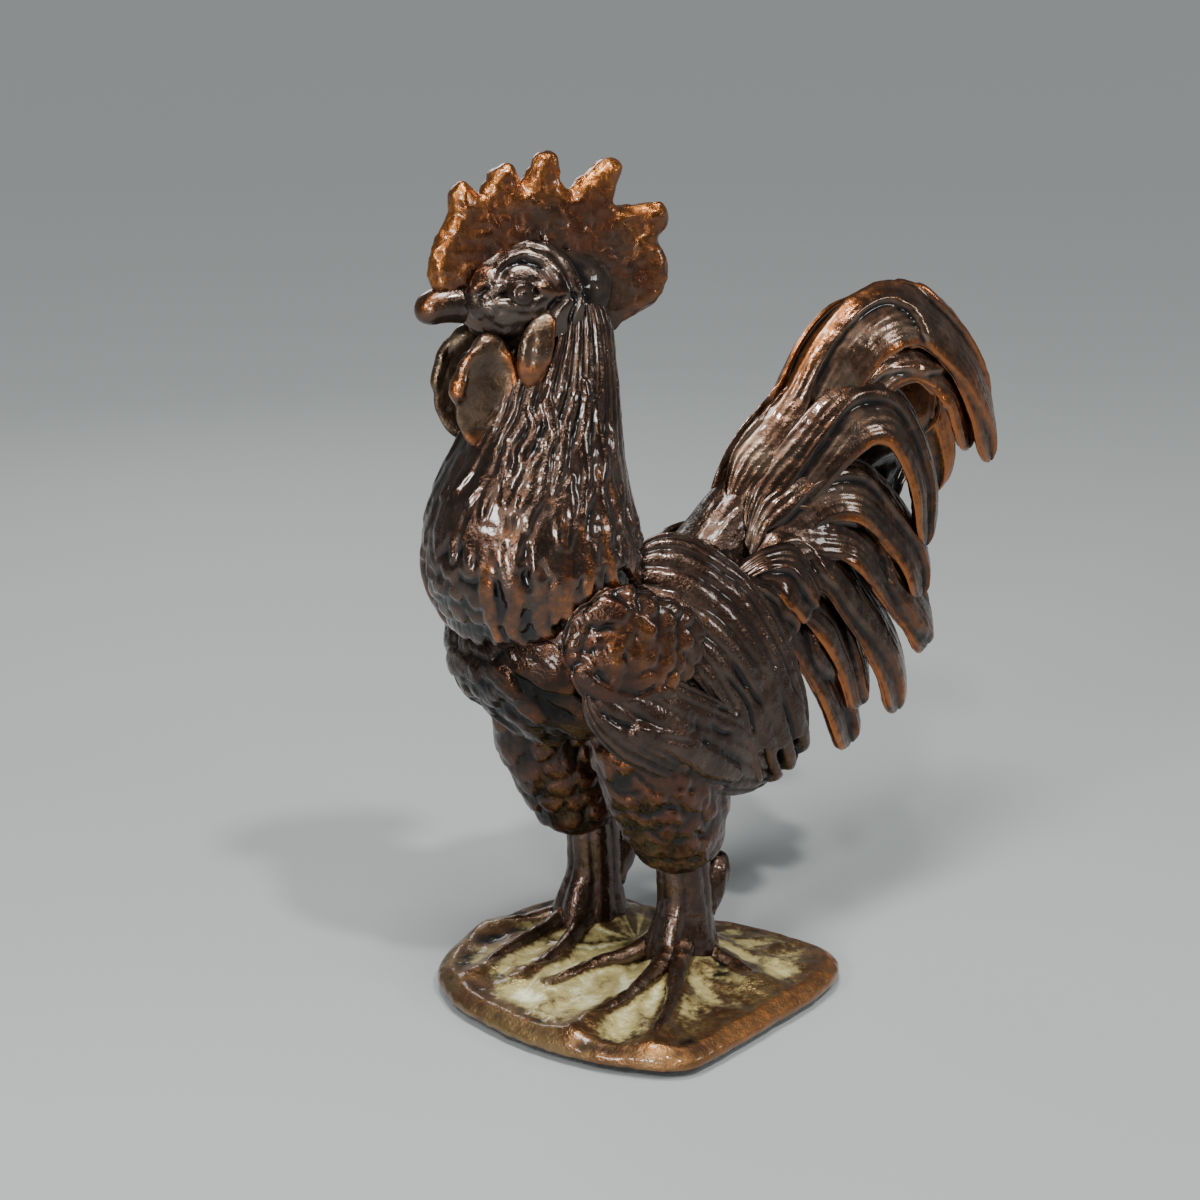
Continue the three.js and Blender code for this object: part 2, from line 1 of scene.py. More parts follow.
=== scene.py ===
# %% [markdown]
# # A small cast bronze rooster
# The real object is a tray ornament, cast in bronze, patinated dark brown and rubbed back to
# copper on everything that stands proud. Its shape is carried by relief: hackle strands, scales
# and tail feathers, all soft at their edges because they were modelled in wax. Relief on a smooth
# body can be a bump texture, loose feathers, or a skin whose points are really moved. The last
# way is used here: every member is a smooth closed skin, worked out with numpy, and its feathers
# are laid on it as heights. The outline then breaks where the casting's outline breaks, and the
# light catches real ridges.

# %% Load the frame
import math
import bpy
import numpy as np
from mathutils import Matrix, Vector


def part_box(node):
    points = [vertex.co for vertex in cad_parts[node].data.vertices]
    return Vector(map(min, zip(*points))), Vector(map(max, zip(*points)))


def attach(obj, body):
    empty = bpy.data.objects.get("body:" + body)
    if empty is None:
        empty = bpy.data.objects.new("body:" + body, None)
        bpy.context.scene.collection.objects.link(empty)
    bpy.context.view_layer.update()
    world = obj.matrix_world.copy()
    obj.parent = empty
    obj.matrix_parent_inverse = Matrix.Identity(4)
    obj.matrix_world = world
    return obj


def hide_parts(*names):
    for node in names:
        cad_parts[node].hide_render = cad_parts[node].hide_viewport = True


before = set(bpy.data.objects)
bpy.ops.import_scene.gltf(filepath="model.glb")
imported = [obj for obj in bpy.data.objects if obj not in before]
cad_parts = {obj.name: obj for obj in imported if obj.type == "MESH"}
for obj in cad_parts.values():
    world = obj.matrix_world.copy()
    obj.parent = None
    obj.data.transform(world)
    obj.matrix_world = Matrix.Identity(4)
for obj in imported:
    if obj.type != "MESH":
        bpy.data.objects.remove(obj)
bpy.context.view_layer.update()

print("frame:", len(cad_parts), "nodes")

# %% [markdown]
# ## One set of axes
# All sizes below are millimetres in the figure's own axes: z up from the ground, x towards the
# tail, y towards the rooster's right, and the origin under the body on the figure's midplane.
# The frame tells where that is: the left shank stands a known setback behind the origin, and the
# body is centred on the midplane.

# %% Figure axes
MM = 0.001
ANKLE_SETBACK = 5.6


def box_middle(node):
    """The middle of a node's box, in metres."""
    low, high = (np.array(corner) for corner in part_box(node))
    return (low + high) / 2


ORIGIN = np.array([box_middle("shank_left")[0] - ANKLE_SETBACK * MM, box_middle("body")[1], 0.0])
print("figure origin, m:", ORIGIN.round(5))

# %% [markdown]
# ## The photograph's eye
# The camera is placed first, because strands are traced through it. A pinhole camera is enough:
# a point's pixel is its offset across and up, divided by its distance. The figure's 88 mm from
# toe to comb span 822 pixels, which sets the distance for a lens of 30 degrees.

# %% Camera
PHOTO = 1200
FILM = 36
FIELD = math.radians(30)
FOCAL = PHOTO / 2 / math.tan(FIELD / 2)
AZIMUTH, ELEVATION = math.radians(-40), math.radians(16)
AIM, AIM_PIXEL = np.array([4.6, 0.0, 3.0]), (635, 934)
SPAN, SPAN_PIXELS = 88, 822
DISTANCE = SPAN * FOCAL / SPAN_PIXELS
BACK = np.array([math.sin(AZIMUTH) * math.cos(ELEVATION),
                 -math.cos(AZIMUTH) * math.cos(ELEVATION), math.sin(ELEVATION)])
RIGHT = np.array([math.cos(AZIMUTH), math.sin(AZIMUTH), 0.0])
UP = np.cross(BACK, RIGHT)
EYE = (AIM + DISTANCE * BACK - RIGHT * (AIM_PIXEL[0] - PHOTO / 2) / FOCAL * DISTANCE
       + UP * (AIM_PIXEL[1] - PHOTO / 2) / FOCAL * DISTANCE)


def pixels(points):
    """Where points are seen: FOCAL times the offset from the eye, across and up, over its depth."""
    offset = points - EYE
    depth = -(offset @ BACK)
    return np.stack([PHOTO / 2 + FOCAL * (offset @ RIGHT) / depth,
                     PHOTO / 2 - FOCAL * (offset @ UP) / depth], -1)


def add(name, data):
    """A new object in the scene that holds the data."""
    thing = bpy.data.objects.new(name, data)
    bpy.context.scene.collection.objects.link(thing)
    return thing


camera = add("photo_camera", bpy.data.cameras.new("photo_camera"))
camera.data.sensor_width = FILM
camera.data.lens = FILM / 2 / math.tan(FIELD / 2)
camera.location = ORIGIN + EYE * MM
camera.rotation_mode = "XYZ"
camera.rotation_euler = (math.pi / 2 - ELEVATION, 0, AZIMUTH)
camera.data.clip_start = 10 * MM
bpy.context.scene.camera = camera
print("camera at, mm:", EYE.round(1))

# %% [markdown]
# ## Curves, noise and blur
# Five small tools serve every piece. `spline` runs a smooth curve through a few points. `ease`
# is the soft step and `bell` the soft bump. `noise` is value noise: random numbers on a lattice,
# blended between its corners. `blur` averages a grid of heights that closes on itself around the
# form.

# %% Number tools
LATTICE = 16


def unit(v):
    """Vectors scaled to length 1."""
    return v / np.maximum(np.linalg.norm(v, axis=-1, keepdims=True), 1e-9)


def ease(x, low, high):
    """0 below low, 1 above high, and 3t^2 - 2t^3 between."""
    t = np.clip((x - low) / (high - low), 0, 1)
    return t * t * (3 - 2 * t)


def bell(x, width):
    """A soft bump: exp(-(x / width)^2)."""
    return np.exp(-((x / width) ** 2))


def spline(points, t):
    """A cubic between each two points, whose slopes follow the neighbouring points, with each
    step weighted by the square root of its length. `t` runs from 0 at the first point to 1 at the
    last."""
    p = np.asarray(points, float)
    p = p[:, None] if p.ndim == 1 else p
    p = np.vstack([2 * p[0] - p[1], p, 2 * p[-1] - p[-2]])
    gap = np.maximum(np.linalg.norm(np.diff(p, axis=0), axis=1), 1e-6) ** 0.5
    at = np.clip(np.asarray(t, float), 0, 1) * (len(p) - 3)
    i = np.minimum(at.astype(int), len(p) - 4)
    w = (at - i)[..., None]
    a, b, c, d = (p[i + k] for k in range(4))
    ga, gb, gc = (gap[i + k][..., None] for k in range(3))
    start = ((b - a) / ga - (c - a) / (ga + gb) + (c - b) / gb) * gb
    end = ((c - b) / gb - (d - b) / (gb + gc) + (d - c) / gc) * gb
    return b + w * (start + w * (3 * (c - b) - 2 * start - end + w * (2 * (b - c) + start + end)))


def curve(values, t):
    """A smooth curve of single numbers, as a flat array."""
    return spline(values, t)[..., 0]


def noise(points, size, seed=0):
    """Value noise from -1 to 1 with lumps of about `size` mm."""
    table = np.random.default_rng(seed).random((LATTICE, LATTICE, LATTICE))
    q = points / size
    cell = np.floor(q).astype(int)
    f = q - cell
    f = f * f * (3 - 2 * f)
    total = 0.0
    for corner in np.ndindex(2, 2, 2):
        share = np.prod(np.where(corner, f, 1 - f), axis=-1)
        total = total + share * table[tuple(np.moveaxis((cell + corner) % LATTICE, -1, 0))]
    return 2 * total - 1


def blur(grid, reach, passes=2):
    """Running mean over `reach` cells each way, along the form and around it, `passes` times."""
    for _ in range(passes):
        for axis, mode in ((0, "edge"), (1, "wrap")):
            width = [(0, 0), (0, 0)]
            width[axis] = (reach + 1, reach)
            total = np.cumsum(np.pad(grid, width, mode=mode), axis=axis)
            size = grid.shape[axis]
            upper = np.take(total, np.arange(2 * reach + 1, 2 * reach + 1 + size), axis)
            lower = np.take(total, np.arange(size), axis)
            grid = (upper - lower) / (2 * reach + 1)
    return grid


# %% [markdown]
# ## A skin and its relief
# A skin is a grid of points: rows follow one another along the form, and each row runs once
# around it. It keeps four more grids: the height of the relief, how much the place is rubbed, how
# much dark patina or painted shade sits there, and how much verdigris. A strand is laid along a
# path on the skin.
# Its height is a round back that also rises towards the tip, and where two strands cross, the
# higher one is kept. That is how overlapping feathers look in a casting: all ridges and creases,
# with nothing behind them.

# %% Skins
FINE_STEPS = 600
SAME_SIDE = 0.1


class Skin:
    """A closed grid of points with outward normals and its relief, in millimetres."""

    def __init__(self, points):
        self.points = points
        across = np.roll(points, -1, 1) - np.roll(points, 1, 1)
        self.normals = unit(np.cross(across, np.gradient(points, axis=0)))
        shape = points.shape[:2]
        self.height = np.zeros(shape)
        self.rub = np.zeros(shape)
        self.patina_and_shade = np.zeros(shape)
        self.moss = np.zeros(shape)

    def push(self, amount):
        """Moves the skin along its normals, as a new form that carries no relief yet."""
        self.__init__(self.points + self.normals * amount[..., None])

    def at(self, along, turn):
        """Points and normals at shares along the form and around it."""
        rows, columns = self.points.shape[:2]
        i = np.clip(np.round(np.asarray(along) * (rows - 1)).astype(int), 0, rows - 1)
        j = np.round(np.asarray(turn) * columns).astype(int) % columns
        return self.points[i, j], self.normals[i, j]

    def under(self, trace):
        """Points and normals where the traced pixels fall on the side that faces the eye."""
        facing = ((EYE - self.points) * self.normals).sum(-1) > 0
        points, normals = self.points[facing], self.normals[facing]
        seen = pixels(points)
        nearest = [np.argmin(((seen - pixel) ** 2).sum(1)) for pixel in trace]
        return points[nearest], normals[nearest]

    def shares(self):
        """How far along the form each row lies, as a column, and how far around each column lies,
        as a row."""
        rows, columns = self.points.shape[:2]
        return np.linspace(0, 1, rows)[:, None], (np.arange(columns) / columns)[None]


def sweep(spine, wide, up, down=None, face=(0, -1, 0), tilt=0, ends=(0.12, 0.12), cell=0.25,
          stretch=1.0):
    """An egg-shaped section carried along a spine: `wide` to either side, `up` towards the face
    direction and `down` away from it. Both ends round off as quarter ellipses over the shares
    `ends`. Points lie about one cell apart around the form and `stretch` cells along it."""
    down = up if down is None else down

    def rows(t):
        centre = spline(spine, t)
        tangent = unit(spline(spine, t + 1e-3) - spline(spine, t - 1e-3))
        facing = np.asarray(face, float)
        normal = unit(facing - tangent * (tangent @ facing)[:, None])
        swell = 1.0
        for part in (t / ends[0], (1 - t) / ends[1]):
            swell = swell * np.sqrt(1 - (1 - np.clip(part, 0, 1)) ** 2)
        sizes = [curve(size, t) * swell for size in (wide, up, down)]
        return centre, tangent, normal, sizes

    fine = (1 - np.cos(np.linspace(0, np.pi, FINE_STEPS))) / 2
    centre, tangent, normal, sizes = rows(fine)
    step = np.hypot(np.linalg.norm(np.diff(centre, axis=0), axis=1),
                    np.abs(np.diff(sizes[0])) / 2 + np.abs(np.diff(sizes[1])) / 2)
    length = np.concatenate([[0], np.cumsum(step)])
    count = max(12, int(length[-1] / cell / stretch))
    t = np.interp(np.linspace(0, 1, count + 2)[1:-1] * length[-1], length, fine)
    centre, tangent, normal, (half, high, low) = rows(t)
    mean_half = np.sqrt((half.max() ** 2 + max(high.max(), low.max()) ** 2) / 2)
    around = int(2 * np.pi * mean_half / cell)
    angle = np.linspace(0, 2 * np.pi, max(16, around), endpoint=False)
    cosine, sine = np.cos(angle), np.sin(angle)
    rise = np.where(sine > 0, high[:, None], low[:, None]) * sine
    aside = half[:, None] * cosine
    lean = math.radians(tilt)
    aside, rise = (aside * math.cos(lean) + rise * math.sin(lean),
                   rise * math.cos(lean) - aside * math.sin(lean))
    across = np.cross(normal, tangent)
    return Skin(centre[:, None] + aside[..., None] * across[:, None]
                + rise[..., None] * normal[:, None])


def closest(skin, path, reach):
    """The skin's points within reach of a path, on its own side of the form: their indices, how
    far along the path each one's nearest place is, and how far away that is."""
    points, normals = path
    box = ((skin.points > points.min(0) - reach) & (skin.points < points.max(0) + reach)).all(-1)
    index = np.nonzero(box)
    where = skin.points[index]
    leg = np.diff(points, axis=0)
    size = np.maximum((leg ** 2).sum(1), 1e-9)
    t = np.clip(np.einsum("mkc,kc->mk", where[:, None] - points[:-1], leg) / size, 0, 1)
    gap = np.linalg.norm(where[:, None] - points[:-1] - t[..., None] * leg, axis=2)
    nearest = gap.argmin(1)
    pick = np.arange(len(where)), nearest
    away = gap[pick]
    length = np.concatenate([[0], np.cumsum(np.sqrt(size))])
    share = (length[nearest] + t[pick] * np.sqrt(size[nearest])) / length[-1]
    same = (skin.normals[index] * normals[nearest]).sum(1) > SAME_SIDE
    keep = same & (away < reach)
    return tuple(part[keep] for part in index), share[keep], away[keep]


def lay(skin, path, width, crown=0.4, rise=(0.0, 0.5), plump=3.0, rub=0.0, groove=0.0, tip=0.6,
        steep=1.0):
    """Lays one strand: height = rise(a^steep) + crown * (1 - b^plump)^(1/2), where a runs along the
    path and b is the distance from it as a share of the half width. `groove` is the depth of the
    furrows along its back. The share `tip` of its rub comes only towards the end."""
    width = np.atleast_1d(np.asarray(width, float)) / 2
    index, a, away = closest(skin, path, width.max())
    half = np.interp(a, np.linspace(0, 1, len(width)), width)
    b = away / half
    inside = b < 1
    index, a, b = tuple(part[inside] for part in index), a[inside], b[inside]
    back = rise[0] + (rise[1] - rise[0]) * a ** steep + crown * np.sqrt(1 - b ** plump)
    back = back - groove * (0.5 - 0.5 * np.cos(4 * np.pi * b)) * (1 - b ** 4)
    over = back > skin.height[index]
    index = tuple(part[over] for part in index)
    skin.height[index] = back[over]
    skin.rub[index] = rub * (1 - tip + tip * ease(a[over], 0.5, 0.95))


def carve(skin, path, width, depth, patina_and_shade=0.0, ends=0.15):
    """Cuts a furrow: depth * exp(-(distance / half width)^2), fading out at both ends."""
    index, a, away = closest(skin, path, width * 1.6)
    cut = bell(2 * away, width) * ease(a, 0, ends) * ease(1 - a, 0, ends)
    skin.height[index] -= depth * cut
    skin.patina_and_shade[index] = np.maximum(skin.patina_and_shade[index], patina_and_shade * cut)


def raise_up(skin, path, width, height, rub=0.0, ends=0.0):
    """Adds a soft ridge: height * exp(-(distance / half width)^2), which fades over the shares
    `ends` of the path."""
    index, a, away = closest(skin, path, width * 1.4)
    swell = bell(2 * away, width)
    if ends:
        swell = swell * ease(a, 0, ends) * ease(1 - a, 0, ends)
    skin.height[index] += height * swell
    skin.rub[index] = np.maximum(skin.rub[index], rub * swell)


print("tools ready")

# %% [markdown]
# ## From a skin to a piece
# The relief is pushed out along the normals and softened a little first, as wax and casting do.
# What stands above its surroundings is where fingers rub, and what lies below is where patina
# stays, so the difference between the height and its own blur is kept on every vertex for the
# material. Faces that turn downward are darkened as painted shade. The right-hand members are the
# left-hand ones reflected, with their faces turned back.

# %% Piece maker
RELIEF_SPAN = 0.3
POLE_ROWS = 5
# Painted shade: how much darker the faces that turn downward become.
UNDERSIDE_SHADE = 0.5
CASTING_LUMPS = ((0.7, 1.0, 5), (2.2, 1.4, 6))
made = []


def reflected(points, plane):
    """Points mirrored in a plane, which is a point and a normal: each one goes back through it by
    twice its distance."""
    return points - 2 * ((points - plane[0]) @ plane[1])[:, None] * plane[1]


def grid_faces(rows, columns):
    """Quads from row to row, and a fan of triangles round each pole. The poles are the two
    vertices that come after the grid's own."""
    i, j = np.meshgrid(np.arange(rows - 1), np.arange(columns), indexing="ij")
    here, right = i * columns + j, i * columns + (j + 1) % columns
    quads = np.stack([here, right, right + columns, here + columns], -1).reshape(-1, 4)
    ring = np.arange(columns)
    turned, last = (ring + 1) % columns, (rows - 1) * columns
    first_fan = np.stack([np.full(columns, rows * columns), turned, ring], -1)
    last_fan = np.stack([np.full(columns, rows * columns + 1), last + ring, last + turned], -1)
    return quads, first_fan, last_fan


def solid_mesh(name, vertices, faces):
    """A smooth mesh of the vertices, in figure millimetres, and groups of equal faces."""
    mesh = bpy.data.meshes.new(name)
    corners = np.concatenate([group.ravel() for group in faces]).astype(np.int32)
    sizes = np.concatenate([np.full(len(group), group.shape[1]) for group in faces])
    mesh.vertices.add(len(vertices))
    mesh.loops.add(len(corners))
    mesh.polygons.add(len(sizes))
    mesh.vertices.foreach_set("co", (ORIGIN + vertices * MM).astype(np.float32).ravel())
    mesh.loops.foreach_set("vertex_index", corners)
    starts = np.concatenate([[0], np.cumsum(sizes)[:-1]]).astype(np.int32)
    mesh.polygons.foreach_set("loop_start", starts)
    mesh.update(calc_edges=True)
    mesh.polygons.foreach_set("use_smooth", np.ones(len(sizes), bool))
    made.append((name, int((sizes - 2).sum())))
    return mesh


def member(node, skin, finish, slot="bronze_dark", mirror=None, soften=1, local=7, casting=0.05,
           settle=1.0):
    """A piece with the skin's relief that takes the place of the CAD node it is named after. The
    relief is blurred by `soften` cells and gets a casting skin of fine noise. Its mean, times
    `settle`, is taken off again, so the form keeps its size. Faces that turn downward are darkened
    as painted shade. `mirror` is a plane in which the finished piece is reflected."""
    height = blur(skin.height, soften, 1) if soften else skin.height
    for size, share, seed in CASTING_LUMPS:
        height = height + share * casting * noise(skin.points, size, seed)
    relief = np.clip((height - blur(height, local)) / RELIEF_SPAN, -1, 1)
    height = height - settle * height.mean()
    to_pole = np.minimum(np.arange(len(height)), np.arange(len(height))[::-1])
    fade = ease(to_pole, 0, POLE_ROWS)[:, None]
    points = skin.points + skin.normals * (height * (0.3 + 0.7 * fade))[..., None]
    poles = np.stack([points[0].mean(0), points[-1].mean(0)])
    vertices = np.vstack([points.reshape(-1, 3), poles])
    faces = grid_faces(*height.shape)
    if mirror:
        vertices = reflected(vertices, mirror)
        faces = [group[:, ::-1] for group in faces]
    mesh = solid_mesh("cast_" + node, vertices, faces)
    # Painted shade: faces that turn downward are darkened.
    patina_and_shade = skin.patina_and_shade + UNDERSIDE_SHADE * ease(-skin.normals[..., 2], -0.15, 0.7)
    for key, grid in (("relief", relief), ("rub", skin.rub), ("patina_and_shade", patina_and_shade), ("moss", skin.moss)):
        values = np.append(grid.ravel(), [grid[0].mean(), grid[-1].mean()]).astype(np.float32)
        mesh.attributes.new(key, "FLOAT", "POINT").data.foreach_set("value", values)
    mesh.materials.append(bpy.data.materials[finish + "_patina"])
    thing = add("cast_" + node, mesh)
    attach(thing, "root")
    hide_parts(node)


print("piece maker ready")

# %% [markdown]
# ## Light and ground
# The figure is photographed in a bright room. Two soft suns, from the upper right and the upper
# left of the eye, give the shadows and the short highlights. Dark metal shows mostly what it
# mirrors, so five panels stand round the figure, and each ridge draws them as a streak.

# %% Floor and lamps
LAMP_TARGET = np.array([2.0, 0.0, 40.0])
SUNS = (("key_right", (-20, -220, 360), 1.6, 4), ("key_left", (-190, -170, 260), 0.8, 6))
PANELS = (("ceiling", (-60, -50, 330), 0.85, 90), ("front_window", (-240, -190, 90), 0.4, 55),
          ("left_window", (-270, -60, 170), 0.35, 50), ("right_window", (170, -210, 150), 0.15, 50),
          ("back_window", (90, 240, 170), 0.12, 90))
SKY_COLOR, SKY_STRENGTH = (0.90, 0.95, 0.96, 1), 0.17
FLOOR_COLOR, FLOOR_SIZE, FLOOR_ROUGHNESS = (0.36, 0.375, 0.375, 1), 12000, 0.8


def lamp(name, kind, place, energy, **shape):
    """A lamp at a place in figure millimetres, turned to the target."""
    light = bpy.data.lights.new(name, kind)
    light.energy = energy
    for key, value in shape.items():
        setattr(light, key, value)
    out = unit(np.array(place) - LAMP_TARGET)
    thing = add(name, light)
    thing.location = ORIGIN + np.array(place) * MM
    thing.rotation_mode = "XYZ"
    thing.rotation_euler = (math.acos(out[2]), 0, math.atan2(out[1], out[0]) + math.pi / 2)


for name, place, energy, degrees in SUNS:
    lamp(name, "SUN", place, energy, angle=math.radians(degrees))
for name, place, energy, size in PANELS:
    lamp(name, "AREA", place, energy, size=size * MM)

world = bpy.data.worlds.new("studio")
bpy.context.scene.world = world
world.use_nodes = True
world.node_tree.nodes["Background"].inputs["Color"].default_value = SKY_COLOR
world.node_tree.nodes["Background"].inputs["Strength"].default_value = SKY_STRENGTH


def flat_floor(name, size, color):
    """A square sheet on the ground around the figure."""
    half = size / 2 * MM
    corners = [(-half, -half, 0), (half, -half, 0), (half, half, 0), (-half, half, 0)]
    mesh = bpy.data.meshes.new(name)
    mesh.from_pydata(corners, [], [(0, 1, 2, 3)])
    finish = bpy.data.materials.new(name)
    finish.use_nodes = True
    shader = finish.node_tree.nodes["Principled BSDF"]
    shader.inputs["Base Color"].default_value = color
    shader.inputs["Roughness"].default_value = FLOOR_ROUGHNESS
    mesh.materials.append(finish)
    return add(name, mesh)


flat_floor("pale_floor", FLOOR_SIZE, FLOOR_COLOR)

# %% [markdown]
# ## Patina
# The casting was blackened, waxed and handled. Three things decide the colour of a spot: how
# deep it lies, how much it has been rubbed, and chance. The attributes on the mesh bring the
# first two, and noise in object coordinates brings the third. How deep a spot lies is its relief
# less the patina and shade attribute, which holds dark patina and also painted shade. Deep places
# are nearly black, the open faces are brown, and whatever stands proud shows copper. A clear coat
# of wax lies over everything, with fainter dents than the metal's own. Verdigris grows only on the
# plaque, where a fourth attribute says so.

# %% Patina material
WORN_FROM, WORN_FULL = 0.55, 1.15
DENT = 0.2
METAL, WAX_ROUGHNESS, WAX_DENTS = 0.95, 0.09, 0.15


def patina(name, brown, taupe, copper, tone=0.0, grain=0.3, rough=0.27, damp=0.6, mottle=1.1,
           black=-0.95, pits=0.5, moss=None):
    """Colour = deep to brown by relief less the patina and shade attribute, which holds painted
    shade as well as dark patina; brown to taupe by slow noise; then by the wear (rub times relief,
    plus noise and tone) from brown over red-brown, at the middle, to copper. Relief under `black`
    is deep. `damp` is the weight of the wax, `pits` the depth of the dents, and `moss` a pair of
    verdigris colours for the places whose moss attribute says so."""
    finish = bpy.data.materials.new(name)
    finish.use_nodes = True
    tree = finish.node_tree

    def feed(socket, value):
        """Links a socket to an output, or sets it to a number or a colour."""
        if isinstance(value, bpy.types.NodeSocket):
            tree.links.new(value, socket)
        else:
            socket.default_value = (*value, 1) if isinstance(value, tuple) else value

    def node(kind, values=(), out=0, **settings):
        """One output of a new node, whose inputs are fed with the values."""
        made_node = tree.nodes.new("ShaderNode" + kind)
        for key, value in settings.items():
            setattr(made_node, key, value)
        for key, value in dict(values).items():
            feed(made_node.inputs[key], value)
        return made_node.outputs[out]

    def calculate(kind, *values):
        return node("Math", enumerate(values), operation=kind)

    def swing(source, size, shift=0.0):
        """Noise from 0 to 1, turned into `size` times -1/2 to 1/2, plus the shift."""
        return calculate("MULTIPLY_ADD", source, size, shift - size / 2)

    def grainy(size, detail, rough_share=0.5):
        return node("TexNoise", {"Vector": where, "Scale": 1 / (size * MM), "Detail": detail,
                                 "Roughness": rough_share}, "Fac")

    def remap(value, low, high, out_low=0.0, out_high=1.0):
        return node("MapRange", {"Value": value, "From Min": low, "From Max": high,
                                 "To Min": out_low, "To Max": out_high}, "Result",
                    interpolation_type="SMOOTHSTEP")

    def blend(share, first, second):
        return node("Mix", {0: share, 6: first, 7: second}, 2, data_type="RGBA")

    where = node("TexCoord", out="Object")
    relief, rub, patina_and_shade, growth = (node("Attribute", out="Fac", attribute_name=key)
                                 for key in ("relief", "rub", "patina_and_shade", "moss"))
    fine, spots, clouds = grainy(grain, 3), grainy(0.9, 4, 0.65), grainy(3.5, 3)
    # Painted shade: the patina and shade attribute deepens the relief here, so it darkens the
    # colour.
    level = calculate("SUBTRACT", relief, calculate("MULTIPLY", patina_and_shade, 1.3))
    chance = calculate("ADD", swing(spots, mottle), swing(clouds, 1.0, tone))
    proud = calculate("MULTIPLY_ADD", level, 0.5, 0.75)
    wear = calculate("ADD", calculate("MULTIPLY", rub, proud), chance)
    faces = blend(remap(clouds, 0.42, 0.6), brown, taupe)
    color = blend(remap(level, black, black + 0.9), DEEP, faces)
    red_brown = tuple((brown[k] * 1.6 + copper[k] * 0.9) / 3 for k in range(3))
    color = blend(remap(wear, WORN_FROM - 0.45, WORN_FROM + 0.2), color, red_brown)
    color, metal = blend(remap(wear, WORN_FROM, WORN_FULL), color, copper), METAL
    if moss:
        patches = calculate("ADD", growth, swing(spots, 0.9))
        color = blend(remap(patches, 0.15, 0.55), color, moss[0])
        color = blend(remap(patches, 0.6, 1.0), color, moss[1])
        metal = remap(patches, 0.15, 0.7, 0.9, 0.35)
    dull = calculate("ADD", remap(level, -0.8, 0.3, rough + 0.3, rough), swing(spots, 0.4))
    height = calculate("MULTIPLY_ADD", spots, 1.2, fine)
    dents, wax_dents = (node("Bump", {"Strength": share * pits, "Distance": DENT * MM,
                                      "Height": height}, "Normal") for share in (1.0, WAX_DENTS))
    for key, value in (("Base Color", color), ("Metallic", metal), ("Roughness", dull),
                       ("Normal", dents), ("Coat Weight", damp), ("Coat Roughness", WAX_ROUGHNESS),
                       ("Coat Normal", wax_dents)):
        feed(tree.nodes["Principled BSDF"].inputs[key], value)


DEEP = (0.006, 0.005, 0.0045)
BROWN = (0.048, 0.024, 0.015)
RUSSET = (0.072, 0.027, 0.013)
TAUPE = (0.078, 0.048, 0.034)
COPPER = (0.34, 0.110, 0.026)
ORANGE = (0.44, 0.155, 0.032)
CAPE = dict(rough=0.2, damp=0.9, mottle=1.4, pits=0.35)
FACE = dict(black=-1.3, mottle=0.7, rough=0.22, damp=0.7, pits=0.3)
WATTLE = dict(black=-1.3, mottle=0.8, rough=0.24, damp=0.7, pits=0.4)
BREAST = dict(tone=-0.2, rough=0.24, damp=0.3)
TAIL = dict(grain=0.4, pits=0.25, tone=0.08)
SICKLE = dict(grain=0.4, pits=0.25, tone=0.12, rough=0.24)
COMB = dict(grain=0.5, mottle=0.8, black=-1.2)
GROUND = dict(rough=0.32, moss=((0.48, 0.40, 0.16), (0.82, 0.82, 0.52)))
for name, brown, taupe, copper, settings in (
        ("dark", BROWN, TAUPE, COPPER, {}),
        ("hackle", BROWN, TAUPE, COPPER, CAPE),
        ("head", (0.045, 0.026, 0.018), (0.080, 0.056, 0.043), COPPER, FACE),
        ("wattle", (0.080, 0.046, 0.027), (0.140, 0.096, 0.060), COPPER, WATTLE),
        ("breast", (0.028, 0.013, 0.008), (0.040, 0.023, 0.016), COPPER, BREAST),
        ("toe", (0.085, 0.046, 0.026), (0.120, 0.080, 0.052), COPPER, {}),
        ("russet", RUSSET, BROWN, COPPER, {}),
        ("tail", BROWN, (0.090, 0.060, 0.042), COPPER, TAIL),
        # The two top feathers' lighter brown and taupe are partly their own tone, partly a painted
        # highlight.
        ("sickle_sheen", (0.100, 0.052, 0.031), (0.210, 0.142, 0.100), COPPER, SICKLE),
        ("rubbed", RUSSET, BROWN, ORANGE, {}),
        ("comb", (0.105, 0.036, 0.015), (0.064, 0.034, 0.021), ORANGE, COMB),
        ("ground", (0.165, 0.082, 0.034), (0.250, 0.160, 0.066), (0.50, 0.18, 0.04), GROUND)):
    patina(name + "_patina", brown, taupe, copper, **settings)
print("materials:", [finish.name for finish in bpy.data.materials])

# %% [markdown]
# ## Rows of feathers
# Small feathers grow in rows, each second row set off by half a feather. `coat` lays such rows
# on a skin. No two are alike on a hand-worked wax, so places, lengths and widths wander a little.

# %% Feather rows
TAPER = np.array([0.7, 1.0, 1.0, 0.75, 0.25])
ROUND = np.array([0.7, 1.0, 1.1, 1.05, 0.7])


def coat(skin, starts, reach, turns, count, width, shape=TAPER, sway=0.0, waves=1.0, jitter=0.2,
         seed=1, **how):
    """Rows of `count` strands: each runs `reach` along the form from its start and sways round it
    by a sine. Jitter is the random share of spacing, length and width."""
    draw = np.random.default_rng(seed)
    s = np.linspace(0, 1, 9)
    for row, start in enumerate(starts):
        for k in range(count):
            a, b, c, d = draw.normal(size=4) * jitter
            place = (k + 0.5 * (row % 2) + 0.5 * a) / count
            turn = turns[0] + (turns[1] - turns[0]) * place
            bend = sway * np.sin(np.pi * s * waves + 3 * c)
            path = skin.at(start + 0.3 * b * reach + reach * s * (1 + 0.5 * c), turn + bend)
            lay(skin, path, width * shape * (1 + 0.6 * d), **how)


